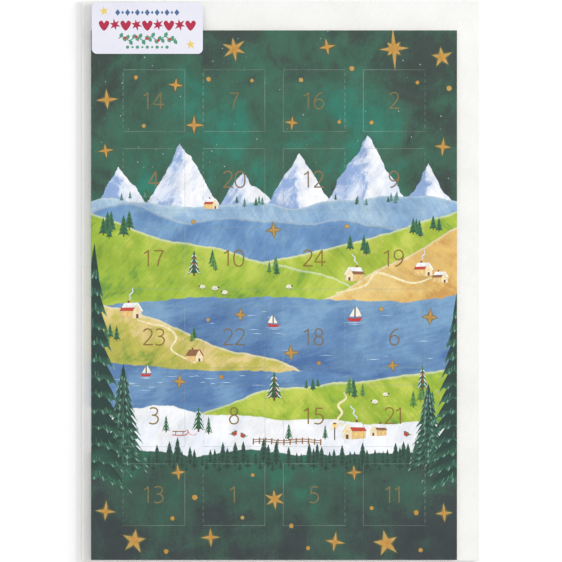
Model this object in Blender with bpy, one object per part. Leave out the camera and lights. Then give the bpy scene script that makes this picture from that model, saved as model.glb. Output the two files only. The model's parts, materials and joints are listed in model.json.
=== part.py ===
# An advent calendar card lying face up on its envelope.
# The card is one folded board: its front leaf has twenty-four die-cut doors over a glued sheet of
# pictures, and opens like a book on the fold at its left. The envelope is one folded sheet of thin
# paper whose closing flap lies underneath. +Y is the top of the print, +Z its face.
# Lengths are in metres. The origin is under the middle of the envelope, on the table.

from math import cos, pi, sin

import bmesh
import bpy
from mathutils import Vector

# Envelope, format B6
envelope_width = 0.125
envelope_height = 0.176
envelope_paper = 0.00012
tab_depth = 0.016
tab_slant = 0.005
back_short = 0.013
back_corner_radius = 0.007
flap_depth = 0.048
flap_slant = 0.014
flap_corner_radius = 0.009

# Card, cut to fit the envelope with these margins as it lies on it
card_board = 0.0003
card_left_margin = 0.00295
card_right_margin = 0.00705
card_bottom_margin = 0.0003
card_top_margin = 0.0092

# Sheet of pictures behind the doors
picture_paper = 0.0002
picture_inset = 0.003

# Doors: the margins round them and the rails of board left between them, up to the middle of each cut
door_side_margin = 0.01005
door_top_margin = 0.0124
door_bottom_margin = 0.01085
column_rail = 0.00577
row_rail = 0.00537
cut_width = 0.0003
cut_edge_round = 0.00004

# Sticker on the card's top left corner
label_width = 0.0349
label_height = 0.0162
label_paper = 0.00012
label_overhang = 0.0088
label_inset = 0.0002
label_corner_radius = 0.0016

# Air between sheets: glued to each other, lying on each other, and across a crease
glue_gap = 0.0002
rest_gap = 0.0003
crease_gap = 0.0003

# Numbers on the doors, from the top row to the bottom row
door_numbers = (
    (14, 7, 16, 2),
    (4, 20, 12, 9),
    (17, 10, 24, 19),
    (23, 22, 18, 6),
    (3, 8, 15, 21),
    (13, 1, 5, 11),
)
door_rows = len(door_numbers)
door_columns = len(door_numbers[0])
corner_steps = 6

# Colours and roughness of each kind of sheet
sheet_finishes = {
    "envelope_paper": ((0.86, 0.86, 0.84, 1.0), 0.85),
    "card_print": ((0.055, 0.135, 0.095, 1.0), 0.55),
    "card_board": ((0.88, 0.87, 0.84, 1.0), 0.8),
    "picture_print": ((0.55, 0.6, 0.62, 1.0), 0.6),
    "label_paper": ((0.84, 0.85, 0.92, 1.0), 0.4),
}

# Heights of the sheets, from the table up
flap_bottom = 0.0
back_bottom = flap_bottom + envelope_paper + rest_gap
tab_bottom = back_bottom + envelope_paper + glue_gap
envelope_front_bottom = tab_bottom + envelope_paper + rest_gap
card_back_bottom = envelope_front_bottom + envelope_paper + rest_gap
picture_bottom = card_back_bottom + card_board + rest_gap
front_bottom = picture_bottom + picture_paper + glue_gap
front_top = front_bottom + card_board
label_bottom = front_top + glue_gap

# Edges of the envelope and of the card, seen from above
envelope_left = -envelope_width / 2
envelope_right = envelope_width / 2
envelope_low = -envelope_height / 2
envelope_high = envelope_height / 2
card_left = envelope_left + card_left_margin
card_right = envelope_right - card_right_margin
card_low = envelope_low + card_bottom_margin
card_high = envelope_high - card_top_margin

# Size of the doors, which share the board evenly between its margins and rails
doors_across = card_right - card_left - 2 * door_side_margin - (door_columns - 1) * column_rail
doors_upward = card_high - card_low - door_top_margin - door_bottom_margin - (door_rows - 1) * row_rail
door_width = doors_across / door_columns
door_height = doors_upward / door_rows

# Joint axes: the fold of the card along its front leaf's inner face, the flap's crease half way
# between the front of the envelope and the flap
fold_axis = Vector((card_left, (card_low + card_high) / 2, front_bottom))
flap_axis = Vector((envelope_right, 0.0, (flap_bottom + envelope_front_bottom + envelope_paper) / 2))


def clear_scene():
    for old in list(bpy.data.objects):
        bpy.data.objects.remove(old, do_unlink=True)


def sheet_material(name):
    colour, roughness = sheet_finishes[name]
    material = bpy.data.materials.get(name) or bpy.data.materials.new(name)
    material.use_nodes = True
    shader = material.node_tree.nodes["Principled BSDF"]
    shader.inputs["Base Color"].default_value = colour
    shader.inputs["Roughness"].default_value = roughness
    shader.inputs["Metallic"].default_value = 0.0
    material.diffuse_color = colour
    return material


def add_empty(name, place, parent=None):
    empty = bpy.data.objects.new(name, None)
    bpy.context.scene.collection.objects.link(empty)
    attach(empty, place, parent)
    return empty


def attach(thing, place, parent):
    """Put a thing at a place in the world, under a parent that is itself not turned."""
    origin = Vector((0.0, 0.0, 0.0))
    above = parent
    while above:
        origin += above.location
        above = above.parent
    thing.parent = parent
    thing.location = Vector(place) - origin


def add_sheet(name, shape, origin, material, parent):
    """Make an object of a bmesh built in world places, with its own origin."""
    bmesh.ops.translate(shape, verts=shape.verts, vec=-Vector(origin))
    bmesh.ops.recalc_face_normals(shape, faces=shape.faces)
    mesh = bpy.data.meshes.new(name)
    shape.to_mesh(mesh)
    shape.free()
    mesh.materials.append(sheet_material(material))
    sheet = bpy.data.objects.new(name, mesh)
    bpy.context.scene.collection.objects.link(sheet)
    attach(sheet, origin, parent)
    return sheet


def cut_sheet(outline, bottom, thickness):
    """A flat sheet of the given outline, a list of (x, y) corners going round it once."""
    shape = bmesh.new()
    corners = [shape.verts.new((x, y, bottom)) for x, y in outline]
    face = shape.faces.new(corners)
    raised = bmesh.ops.extrude_face_region(shape, geom=[face])
    tops = [item for item in raised["geom"] if isinstance(item, bmesh.types.BMVert)]
    bmesh.ops.translate(shape, verts=tops, vec=(0.0, 0.0, thickness))
    bmesh.ops.recalc_face_normals(shape, faces=shape.faces)
    return shape


def raise_fold(shape, along, edge, inward, height):
    """Turn a strip of the sheet at one edge upwards, where the paper folds over.
    along is the axis across the fold, edge its outer place and inward the strip's width, signed."""
    point = Vector((0.0, 0.0, 0.0))
    point[along] = edge + inward
    normal = Vector((0.0, 0.0, 0.0))
    normal[along] = 1.0
    everything = shape.verts[:] + shape.edges[:] + shape.faces[:]
    bmesh.ops.bisect_plane(shape, geom=everything, plane_co=point, plane_no=normal)
    strip = []
    for face in shape.faces:
        middle = face.calc_center_median()[along]
        outside = (middle - point[along]) * inward < 0
        if face.normal.z > cos(pi / 4) and outside:
            strip.append(face)
    raised = bmesh.ops.extrude_face_region(shape, geom=strip)
    tops = [item for item in raised["geom"] if isinstance(item, bmesh.types.BMVert)]
    bmesh.ops.translate(shape, verts=tops, vec=(0.0, 0.0, height))
    bmesh.ops.delete(shape, geom=strip, context="FACES_ONLY")
    return shape


def rounded(corners, radii):
    """An outline with each corner rounded by its own radius; a radius of zero keeps it sharp."""
    outline = []
    for index, (corner, radius) in enumerate(zip(corners, radii)):
        here = Vector(corner)
        if radius == 0:
            outline.append(tuple(here))
            continue
        back = (Vector(corners[index - 1]) - here).normalized()
        ahead = (Vector(corners[(index + 1) % len(corners)]) - here).normalized()
        half = back.angle(ahead) / 2
        reach = radius * cos(half) / sin(half)
        start = here + back * reach
        middle = here + (back + ahead).normalized() * (radius / sin(half))
        turn = pi - 2 * half
        spoke = start - middle
        side = 1 if ahead.x * back.y - ahead.y * back.x > 0 else -1
        for step in range(corner_steps + 1):
            angle = side * turn * step / corner_steps
            turned_x = spoke.x * cos(angle) - spoke.y * sin(angle)
            turned_y = spoke.x * sin(angle) + spoke.y * cos(angle)
            outline.append((middle.x + turned_x, middle.y + turned_y))
    return outline


def soften_top_edges(shape, top):
    """Round the upper edges that the cutting die pressed down."""
    pressed = []
    for edge in shape.edges:
        flat = all(abs(vert.co.z - top) < cut_edge_round / 2 for vert in edge.verts)
        if flat and edge.calc_face_angle(0.0) > pi / 4:
            pressed.append(edge)
    bmesh.ops.bevel(shape, geom=pressed, offset=cut_edge_round, segments=1, affect="EDGES")
    return shape


def door_place(row, column):
    """Left and lower cut lines of one door."""
    left = card_left + door_side_margin + column * (door_width + column_rail)
    low = card_high - door_top_margin - door_height - row * (door_height + row_rail)
    return left, low


def add_envelope(root):
    """The envelope's front, glued tabs, back panel and closing flap."""
    front = cut_sheet(
        [
            (envelope_left, envelope_low),
            (envelope_right, envelope_low),
            (envelope_right, envelope_high),
            (envelope_left, envelope_high),
        ],
        envelope_front_bottom,
        envelope_paper,
    )
    add_sheet("envelope_front", front, (0.0, 0.0, envelope_front_bottom), "envelope_paper", root)

    fold_height = envelope_front_bottom - glue_gap - (tab_bottom + envelope_paper)
    for name, edge, inward in (
        ("envelope_tab_top", envelope_high, -1),
        ("envelope_tab_bottom", envelope_low, 1),
    ):
        inner = edge + inward * tab_depth
        corners = [
            (envelope_left + crease_gap, edge),
            (envelope_right - crease_gap, edge),
            (envelope_right - tab_slant, inner),
            (envelope_left + tab_slant, inner),
        ]
        tab = cut_sheet(corners, tab_bottom, envelope_paper)
        raise_fold(tab, 1, edge, inward * envelope_paper, fold_height)
        add_sheet(name, tab, (0.0, edge, tab_bottom), "envelope_paper", root)

    back_right = envelope_right - back_short
    corners = [
        (envelope_left, envelope_low + crease_gap),
        (back_right, envelope_low + crease_gap),
        (back_right, envelope_high - crease_gap),
        (envelope_left, envelope_high - crease_gap),
    ]
    outline = rounded(corners, (0, back_corner_radius, back_corner_radius, 0))
    back = cut_sheet(outline, back_bottom, envelope_paper)
    back_fold_height = envelope_front_bottom - glue_gap - (back_bottom + envelope_paper)
    raise_fold(back, 0, envelope_left, envelope_paper, back_fold_height)
    add_sheet("envelope_back", back, (envelope_left, 0.0, back_bottom), "envelope_paper", root)

    flap_root = envelope_right - crease_gap
    flap_tip = envelope_right - flap_depth
    corners = [
        (flap_root, envelope_low + crease_gap),
        (flap_root, envelope_high - crease_gap),
        (flap_tip, envelope_high - flap_slant),
        (flap_tip, envelope_low + flap_slant),
    ]
    outline = rounded(corners, (0, 0, flap_corner_radius, flap_corner_radius))
    flap = cut_sheet(outline, flap_bottom, envelope_paper)
    add_sheet("envelope_flap", flap, flap_axis, "envelope_paper", root)


def add_card_back(lift):
    """The back leaf, with the folded edge of the board standing up along its left side."""
    back = cut_sheet(
        [
            (card_left, card_low),
            (card_right, card_low),
            (card_right, card_high),
            (card_left, card_high),
        ],
        card_back_bottom,
        card_board,
    )
    fold_height = front_bottom - glue_gap - (card_back_bottom + card_board)
    raise_fold(back, 0, card_left, card_board, fold_height)
    add_sheet("card_back", back, lift.location, "card_board", lift)


def add_front_panel(fold):
    """The front leaf: a board with a window for each door."""
    half_cut = cut_width / 2
    across = [card_left]
    for column in range(door_columns):
        left, _ = door_place(0, column)
        across += [left - half_cut, left + door_width + half_cut]
    across.append(card_right)
    upward = [card_low]
    for row in reversed(range(door_rows)):
        _, low = door_place(row, 0)
        upward += [low - half_cut, low + door_height + half_cut]
    upward.append(card_high)

    panel = bmesh.new()
    grid = [[panel.verts.new((x, y, front_bottom)) for y in upward] for x in across]
    for i in range(len(across) - 1):
        for j in range(len(upward) - 1):
            is_window = i % 2 == 1 and j % 2 == 1
            if not is_window:
                panel.faces.new((grid[i][j], grid[i + 1][j], grid[i + 1][j + 1], grid[i][j + 1]))
    raised = bmesh.ops.extrude_face_region(panel, geom=panel.faces[:])
    tops = [item for item in raised["geom"] if isinstance(item, bmesh.types.BMVert)]
    bmesh.ops.translate(panel, verts=tops, vec=(0.0, 0.0, card_board))
    bmesh.ops.recalc_face_normals(panel, faces=panel.faces)
    soften_top_edges(panel, front_top)
    add_sheet("front_panel", panel, fold_axis, "card_print", fold)


def add_picture_sheet(fold):
    """The thin sheet of pictures glued behind the front leaf."""
    pictures = cut_sheet(
        [
            (card_left + picture_inset, card_low + picture_inset),
            (card_right - picture_inset, card_low + picture_inset),
            (card_right - picture_inset, card_high - picture_inset),
            (card_left + picture_inset, card_high - picture_inset),
        ],
        picture_bottom,
        picture_paper,
    )
    add_sheet("picture_sheet", pictures, fold_axis, "picture_print", fold)


def add_label(fold):
    """The sticker, half on the card and half over its top edge."""
    left = card_left + label_inset
    high = card_high + label_overhang
    corners = [
        (left, high - label_height),
        (left + label_width, high - label_height),
        (left + label_width, high),
        (left, high),
    ]
    outline = rounded(corners, (label_corner_radius,) * len(corners))
    label = cut_sheet(outline, label_bottom, label_paper)
    add_sheet("label", label, fold_axis, "label_paper", fold)


def add_door(row, column, fold):
    """One door with its origin on its crease: left in the left half, right in the right half."""
    left, low = door_place(row, column)
    inset = cut_width / 2
    opens_left = column < door_columns / 2
    crease = left if opens_left else left + door_width
    axis = Vector((crease, low + door_height / 2, front_top))
    door = cut_sheet(
        [
            (left + inset, low + inset),
            (left + door_width - inset, low + inset),
            (left + door_width - inset, low + door_height - inset),
            (left + inset, low + door_height - inset),
        ],
        front_bottom,
        card_board,
    )
    soften_top_edges(door, front_top)
    number = door_numbers[row][column]
    add_sheet(f"door_{number:02d}", door, axis, "card_print", fold)


def main():
    clear_scene()
    root = add_empty("envelope", (0.0, 0.0, 0.0))
    add_envelope(root)
    card_middle = ((card_left + card_right) / 2, (card_low + card_high) / 2, card_back_bottom)
    lift = add_empty("card_lift", card_middle, root)
    add_card_back(lift)
    fold = add_empty("card_fold", fold_axis, lift)
    add_front_panel(fold)
    add_picture_sheet(fold)
    add_label(fold)
    for row in range(door_rows):
        for column in range(door_columns):
            add_door(row, column, fold)


main()
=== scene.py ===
import json
import math
import random
from types import SimpleNamespace

import bmesh
import bpy
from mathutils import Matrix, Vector
from mathutils.geometry import delaunay_2d_cdt, tessellate_polygon


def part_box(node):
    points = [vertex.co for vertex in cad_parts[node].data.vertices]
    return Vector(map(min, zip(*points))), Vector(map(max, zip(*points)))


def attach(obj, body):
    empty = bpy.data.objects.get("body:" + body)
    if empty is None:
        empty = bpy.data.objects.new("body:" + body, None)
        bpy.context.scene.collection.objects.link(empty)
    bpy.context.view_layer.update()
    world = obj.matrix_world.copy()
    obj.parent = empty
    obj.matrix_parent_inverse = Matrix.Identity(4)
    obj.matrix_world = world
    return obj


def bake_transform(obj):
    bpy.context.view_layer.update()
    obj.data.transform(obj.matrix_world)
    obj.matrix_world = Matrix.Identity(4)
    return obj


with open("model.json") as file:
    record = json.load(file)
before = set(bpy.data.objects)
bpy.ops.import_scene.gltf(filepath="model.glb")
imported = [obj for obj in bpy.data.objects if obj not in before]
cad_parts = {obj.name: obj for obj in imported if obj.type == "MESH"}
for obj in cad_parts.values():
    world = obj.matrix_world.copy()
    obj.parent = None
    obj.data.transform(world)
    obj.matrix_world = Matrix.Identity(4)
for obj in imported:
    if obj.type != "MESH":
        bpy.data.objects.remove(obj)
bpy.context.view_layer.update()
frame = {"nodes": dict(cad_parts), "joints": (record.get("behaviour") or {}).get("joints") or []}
nodes = frame["nodes"]
mm = 0.001


def boxInMm(name):
    low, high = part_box(name)
    return low / mm, high / mm


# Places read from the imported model, in millimetres
panelLow, panelHigh = boxInMm("front_panel")
pictureLow, pictureHigh = boxInMm("picture_sheet")
backLow, backHigh = boxInMm("card_back")
labelLow, labelHigh = boxInMm("label")
envelopeLow, envelopeHigh = boxInMm("envelope_front")
envelopeBackLow, envelopeBackHigh = boxInMm("envelope_back")
flapLow, flapHigh = boxInMm("envelope_flap")
tabLow, tabHigh = boxInMm("envelope_tab_top")
doorNames = sorted(name for name in nodes if name.startswith("door_"))
doorBoxes = {name: boxInMm(name) for name in doorNames}
doorMiddles = {name: (low + high) / 2 for name, (low, high) in doorBoxes.items()}
creaseX = {joint["child"]: joint["pos_m"][0] / mm
           for joint in frame["joints"] if joint["child"] in doorBoxes}
cutWidth = 0.3          # width of the die cut round each door
lap = 0.13              # how far the print is pressed into the cut from each side
# perforation along each door's crease, and the line along it that no ink reaches. Each bridge goes a little
# into panel and door, stays flat at both ends, and lies under the face and over the back
crease = {"pitch": 2.042, "bridge": 0.8, "count": 10, "bare": 0.02, "into": 0.03, "flat": 0.09,
          "under": 0.012, "over": 0.02, "level": 0.14}
creaseLines = sorted({round(x, 3) for x in creaseX.values()})

columnMiddles = sorted({round(middle.x, 3) for middle in doorMiddles.values()})
rowMiddles = sorted({round(middle.y, 3) for middle in doorMiddles.values()})
columnPitch = (columnMiddles[-1] - columnMiddles[0]) / (len(columnMiddles) - 1)
rowPitch = (rowMiddles[-1] - rowMiddles[0]) / (len(rowMiddles) - 1)
doorSize = doorBoxes[doorNames[0]][1] - doorBoxes[doorNames[0]][0]


# Small helpers for node trees

def colour(red, green, blue):
    # a screen colour, 0 to 255, as the linear colour a socket wants
    def linear(value):
        value /= 255
        return value / 12.92 if value <= 0.04045 else ((value + 0.055) / 1.055) ** 2.4
    return (linear(red), linear(green), linear(blue), 1.0)


def feed(tree, target, value):
    # a socket is linked, anything else becomes the socket's own value
    if isinstance(value, bpy.types.NodeSocket):
        tree.links.new(value, target)
    else:
        target.default_value = value


def newNode(tree, kind, values, **settings):
    # a node with its settings and what goes into its inputs, by their names or places
    node = tree.nodes.new("ShaderNode" + kind)
    for name, setting in settings.items():
        setattr(node, name, setting)
    for name, value in values.items():
        feed(tree, node.inputs[name], value)
    return node


def maths(tree, operation, *values):
    return newNode(tree, "Math", dict(enumerate(values)), operation=operation).outputs[0]


def sway(tree, value, field, share):
    # a value that a noise field moves up and down
    return maths(tree, "MULTIPLY_ADD", maths(tree, "SUBTRACT", field, 0.5), share, value)


def mixColours(tree, factor, first, second, blend="MIX"):
    ends = {0: factor, 6: first, 7: second}
    return newNode(tree, "Mix", ends, data_type="RGBA", blend_type=blend).outputs[2]


def shadeBy(tree, tint, shade):
    # a colour made darker under 1 and lighter over 1
    grey = newNode(tree, "CombineColor", {0: shade, 1: shade, 2: shade}).outputs[0]
    return mixColours(tree, 1.0, tint, grey, "MULTIPLY")


def rescale(tree, value, low, high, toLow=0.0, toHigh=1.0):
    ends = {0: value, 1: low, 2: high, 3: toLow, 4: toHigh}
    return newNode(tree, "MapRange", ends, interpolation_type="SMOOTHSTEP").outputs[0]


def placeInMm(tree):
    # the point in the card's own frame, in mm, as a vector and as its x and y
    point = newNode(tree, "TexCoord", {}).outputs["Object"]
    scaled = newNode(tree, "VectorMath", {0: point, "Scale": 1 / mm}, operation="SCALE").outputs[0]
    apart = newNode(tree, "SeparateXYZ", {0: scaled}).outputs
    return scaled, apart["X"], apart["Y"]


def noise(tree, place, size, detail=3.0, roughness=0.55, distortion=0.0):
    # size is about the width of one blotch, in mm
    scale = maths(tree, "DIVIDE", 1.0, size) if isinstance(size, bpy.types.NodeSocket) else 1 / size
    values = {"Vector": place, "Scale": scale, "Detail": detail, "Roughness": roughness,
              "Distortion": distortion}
    return newNode(tree, "TexNoise", values).outputs["Fac"]


def turned(tree, place, angle, stretch):
    values = {"Vector": place, "Angle": angle}
    spin = newNode(tree, "VectorRotate", values, rotation_type="Z_AXIS").outputs[0]
    return newNode(tree, "VectorMath", {0: spin, 1: stretch}, operation="MULTIPLY").outputs[0]


def newGroup(name, inputs, outputs):
    # inputs come with their usual values, None for a colour; returns the tree and its two ends
    kinds = {True: "NodeSocketColor", False: "NodeSocketFloat"}
    tree = bpy.data.node_groups.new(name, "ShaderNodeTree")
    for label, value in inputs.items():
        socket = tree.interface.new_socket(name=label, in_out="INPUT", socket_type=kinds[value is None])
        if value is not None:
            socket.default_value = value
    for label in outputs:
        tree.interface.new_socket(name=label, in_out="OUTPUT", socket_type=kinds[label == "Color"])
    given = tree.nodes.new("NodeGroupInput").outputs if inputs else None
    return tree, given, tree.nodes.new("NodeGroupOutput").inputs


def useGroup(tree, group, values=None):
    return newNode(tree, "Group", values or {}, node_tree=group).outputs


# Effects that several finishes share

def makeWashGroup():
    # watercolour: three tones in soft clouds, brush strokes over them and fine pigment grains
    settings = {"clouds": (4.0, 0.55, 0.6), "stretch": (1.0, 0.2, 1.0), "fineStrokes": (0.9, 3.0, 0.6),
                "wideStrokes": (3.4, 2.0, 0.5), "grains": (0.45, 2.0, 0.7), "darkToMiddle": (0.26, 0.5),
                "middleToLight": (0.48, 0.74)}
    tree, given, out = newGroup("Painted wash", {
        "Light": None, "Middle": None, "Dark": None, "Cloud Size": 18.0, "Balance": 0.0, "Strokes": 0.25,
        "Stroke Turn": -0.66, "Grain": 0.12}, ["Color"])
    place = placeInMm(tree)[0]
    slanted = turned(tree, place, given["Stroke Turn"], settings["stretch"])
    tone = maths(tree, "ADD", noise(tree, place, given["Cloud Size"], *settings["clouds"]), given["Balance"])
    for field, texture, share in (("fineStrokes", slanted, "Strokes"), ("wideStrokes", slanted, "Strokes"),
                                  ("grains", place, "Grain")):
        tone = sway(tree, tone, noise(tree, texture, *settings[field]), given[share])
    shade = mixColours(tree, rescale(tree, tone, *settings["darkToMiddle"]), given["Dark"], given["Middle"])
    light = rescale(tree, tone, *settings["middleToLight"])
    feed(tree, out["Color"], mixColours(tree, light, shade, given["Light"]))
    return tree


def makeCrestGroup():
    # one hill of the landscape: 1 under its crest line, and the pigment that gathers along it
    settings = {"edge": 0.3, "rim": 0.8, "ripple": (5.0, 4.0, 0.6)}
    tree, given, out = newGroup("Hill crest", {
        "Height": 0.0, "Slope": 0.0, "Swell": 8.0, "Length": 45.0, "Seed": 0.0, "Ripple": 1.6},
        ["Mask", "Rim", "Depth"])
    place, x, y = placeInMm(tree)
    along = maths(tree, "ADD", maths(tree, "DIVIDE", x, given["Length"]), given["Seed"])
    hills = newNode(tree, "TexNoise", {"W": along, "Scale": 1.0, "Detail": 1.0}, noise_dimensions="1D")
    crest = maths(tree, "MULTIPLY_ADD", x, given["Slope"], given["Height"])
    crest = sway(tree, crest, hills.outputs["Fac"], given["Swell"])
    crest = sway(tree, crest, noise(tree, place, *settings["ripple"]), given["Ripple"])
    depth = maths(tree, "SUBTRACT", crest, y)
    mask = rescale(tree, depth, 0.0, settings["edge"])
    inner = rescale(tree, depth, settings["edge"], settings["edge"] + settings["rim"])
    feed(tree, out["Mask"], mask)
    feed(tree, out["Rim"], maths(tree, "SUBTRACT", mask, inner))
    feed(tree, out["Depth"], depth)
    return tree


def makeGrainGroup():
    # paper: soft mottling, fibres lying every way and a fine tooth
    settings = {"fibres": (2.0, 0.6, 0.6), "mottle": (3.0, 0.5), "fibreShare": 0.45, "mottleShare": 0.55,
                "ways": ((0.5, (1.0, 0.18, 1.0)), (-0.9, (0.18, 1.0, 1.0))), "swell": 0.6}
    tree, given, out = newGroup("Paper grain", {"Fibre Size": 0.5, "Mottle Size": 9.0}, ["Tone", "Height"])
    place = placeInMm(tree)[0]
    fibres = maths(tree, "MAXIMUM", *(noise(tree, turned(tree, place, *way), given["Fibre Size"],
                                            *settings["fibres"]) for way in settings["ways"]))
    mottle = noise(tree, place, given["Mottle Size"], *settings["mottle"])
    soft = maths(tree, "MULTIPLY", mottle, settings["mottleShare"])
    feed(tree, out["Tone"], maths(tree, "MULTIPLY_ADD", fibres, settings["fibreShare"], soft))
    feed(tree, out["Height"], maths(tree, "MULTIPLY_ADD", mottle, settings["swell"], fibres))
    return tree


def makeFaceGroup():
    # 1 on the printed side of a sheet and on its fold, 0 on its cut edges and its back
    settings = {"up": (0.3, 0.6), "left": (-0.5, -0.7), "foldReach": 0.1}
    tree, given, out = newGroup("Printed side", {}, ["Face"])
    facing = newNode(tree, "SeparateXYZ", {0: newNode(tree, "TexCoord", {}).outputs["Normal"]}).outputs
    onTop = rescale(tree, facing["Z"], *settings["up"])
    toLeft = rescale(tree, facing["X"], *settings["left"])
    atFold = maths(tree, "LESS_THAN", placeInMm(tree)[1], panelLow.x + settings["foldReach"])
    feed(tree, out["Face"], maths(tree, "MAXIMUM", onTop, maths(tree, "MULTIPLY", toLeft, atFold)))
    return tree


def makeCutGroup():
    # the pale line that the knife leaves round each door, broken by the bridges of its crease
    # firstBeat: a door's middle lies half a beat from a bridge, and the count stays above nought
    settings = {"reach": 0.05, "fade": 0.09, "patches": (16.0, 2.0, 0.5), "patchy": (0.34, 0.66, 0.35, 1.9),
                "halves": (1.4, 1.6, -1.0, 1.0), "firstBeat": 100.5}
    tree, given, out = newGroup("Die cuts", {}, ["Line"])
    place, x, y = placeInMm(tree)
    sides = []
    for across, middles, pitch, size in ((x, columnMiddles, columnPitch, doorSize.x),
                                         (y, rowMiddles, rowPitch, doorSize.y)):
        step = maths(tree, "DIVIDE", maths(tree, "SUBTRACT", across, middles[0]), pitch)
        nearest = maths(tree, "MAXIMUM", maths(tree, "ROUND", step), 0.0)
        nearest = maths(tree, "MINIMUM", nearest, len(middles) - 1.0)
        offset = maths(tree, "MULTIPLY", maths(tree, "SUBTRACT", step, nearest), pitch)
        outside = maths(tree, "SUBTRACT", maths(tree, "ABSOLUTE", offset), (size + cutWidth) / 2)
        sides.append((offset, nearest, outside))
    (offsetX, column, outsideX), (offsetY, row, outsideY) = sides
    distance = maths(tree, "ABSOLUTE", maths(tree, "MAXIMUM", outsideX, outsideY))
    line = rescale(tree, distance, settings["reach"] + settings["fade"], settings["reach"])
    # the crease is on the left in the left half of the card and on the right in the right half
    half = rescale(tree, column, *settings["halves"])
    creaseSide = maths(tree, "GREATER_THAN", maths(tree, "MULTIPLY", offsetX, half), 0.0)
    upright = maths(tree, "GREATER_THAN", outsideX, outsideY)
    beat = maths(tree, "DIVIDE", offsetY, crease["pitch"])
    board = crease["bridge"] / crease["pitch"]
    beat = maths(tree, "FRACT", maths(tree, "ADD", beat, settings["firstBeat"] + board / 2))
    bridge = maths(tree, "LESS_THAN", beat, board)
    bridge = maths(tree, "MULTIPLY", bridge, maths(tree, "MULTIPLY", creaseSide, upright))
    patchy = rescale(tree, noise(tree, place, *settings["patches"]), *settings["patchy"])
    line = maths(tree, "MULTIPLY", line, maths(tree, "SUBTRACT", 1.0, bridge))
    feed(tree, out["Line"], maths(tree, "MULTIPLY", line, patchy))
    return tree


washGroup = makeWashGroup()
crestGroup = makeCrestGroup()
grainGroup = makeGrainGroup()
faceGroup = makeFaceGroup()
cutGroup = makeCutGroup()
print("shared effects made")


# Finishes

def newFinish(name, roughness, specular=0.35):
    material = bpy.data.materials.new(name)
    material.use_nodes = True
    shader = material.node_tree.nodes["Principled BSDF"].inputs
    shader["Roughness"].default_value = roughness
    shader["Specular IOR Level"].default_value = specular
    return material, material.node_tree, shader


def dress(tree, shader, tint, roughness, height, strength, distance):
    # colour, gloss and the fine tooth of the surface
    bump = newNode(tree, "Bump", {"Strength": strength, "Distance": distance * mm, "Height": height})
    for name, value in (("Base Color", tint), ("Roughness", roughness), ("Normal", bump.outputs["Normal"])):
        feed(tree, shader[name], value)


def paperFinish(name, light, dark, roughness, tooth, fibreSize, mottleSize):
    settings = {"tones": (0.3, 0.7), "glossTones": (0.2, 0.8), "gloss": 0.06, "toothDepth": 0.06}
    material, tree, shader = newFinish(name, roughness)
    grain = useGroup(tree, grainGroup, {"Fibre Size": fibreSize, "Mottle Size": mottleSize})
    tint = mixColours(tree, rescale(tree, grain["Tone"], *settings["tones"]), colour(*dark), colour(*light))
    gloss = rescale(tree, grain["Tone"], *settings["glossTones"], roughness + settings["gloss"],
                    roughness - settings["gloss"])
    dress(tree, shader, tint, gloss, grain["Height"], tooth, settings["toothDepth"])
    return material


# The print's washes, from the back of the picture to its front. Heights and lengths are in mm, a crest's
# height is given at the card's middle, and slope is its rise to the right
def hill(crest, light, middle, dark, cloud, turn, rim, ripple=1.6, balance=0.0):
    # crest: its height, its slope, how far it swells, over what length, and its seed
    traits = dict(zip(("Height", "Slope", "Swell", "Length", "Seed", "Ripple"), (*crest, ripple)))
    return {"crest": traits, "light": colour(*light), "middle": colour(*middle), "dark": colour(*dark),
            "cloud": cloud, "turn": turn, "rim": rim, "balance": balance}


landscape = {
    # crest, tones from light to dark, size of the clouds, turn of the strokes, strength of the rim
    "farHills": hill((25.0, 0.02, 13.0, 30.0, 3.3), (174, 200, 218), (142, 174, 204), (114, 150, 190),
                     13.0, -0.5, 0.25),
    "blueHills": hill((19.0, -0.05, 14.0, 34.0, 9.1), (124, 162, 198), (102, 140, 184), (80, 116, 166),
                      12.0, 0.5, 0.3),
    "rightHill": hill((6.0, 0.30, 11.0, 52.0, 1.7), (192, 202, 92), (162, 184, 64), (112, 152, 66),
                      12.0, -0.8, 0.5),
    "leftHill": hill((4.5, -0.30, 12.0, 47.0, 6.4), (186, 200, 86), (154, 182, 64), (104, 146, 64),
                     11.0, 0.7, 0.5),
    "fields": hill((-9.0, 0.42, 9.0, 41.0, 12.2), (230, 201, 132), (219, 182, 109), (196, 150, 86),
                   10.0, -1.0, 0.45),
    "lake": hill((-5.5, 0.03, 10.0, 58.0, 4.9), (124, 161, 194), (100, 136, 177), (76, 110, 160),
                 17.0, 1.35, 0.0, 2.4),
    "spit": hill((-27.0, -0.36, 8.0, 38.0, 7.7), (224, 202, 138), (188, 182, 86), (118, 152, 66),
                 9.0, 0.9, 0.5),
    "nearLake": hill((-28.0, -0.03, 9.0, 49.0, 2.8), (118, 155, 192), (92, 128, 173), (68, 102, 154),
                     15.0, 1.35, 0.0, 2.4),
    "meadow": hill((-36.0, 0.20, 9.0, 44.0, 15.5), (190, 202, 86), (152, 180, 60), (96, 142, 66),
                   11.0, -0.7, 0.5),
    "snow": hill((-43.0, -0.06, 9.0, 40.0, 20.2), (240, 241, 244), (226, 231, 241), (168, 190, 222),
                 14.0, 0.4, 0.3, balance=0.1),
}

peaks = {
    # the snow mountains: middle, top and half width in mm
    "places": ((-50.0, 36.0, 24.0), (-31.0, 43.5, 21.0), (-11.0, 34.0, 25.0), (6.0, 40.0, 24.0),
               (27.0, 46.0, 23.0), (46.0, 37.0, 20.0)),
    "light": colour(242, 243, 246), "middle": colour(216, 224, 238), "dark": colour(142, 168, 210),
    "jitter": 2.6, "soft": 0.3, "steep": 1.15, "rough": (3.6, 4.0, 0.62), "broad": (11.0, 2.0, 0.5),
    "leaning": 6.4, "zigzag": 8.0, "flanks": (-1.4, 1.4, -0.16, 0.14), "cloud": 8.0, "strokes": 0.35,
}

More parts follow.
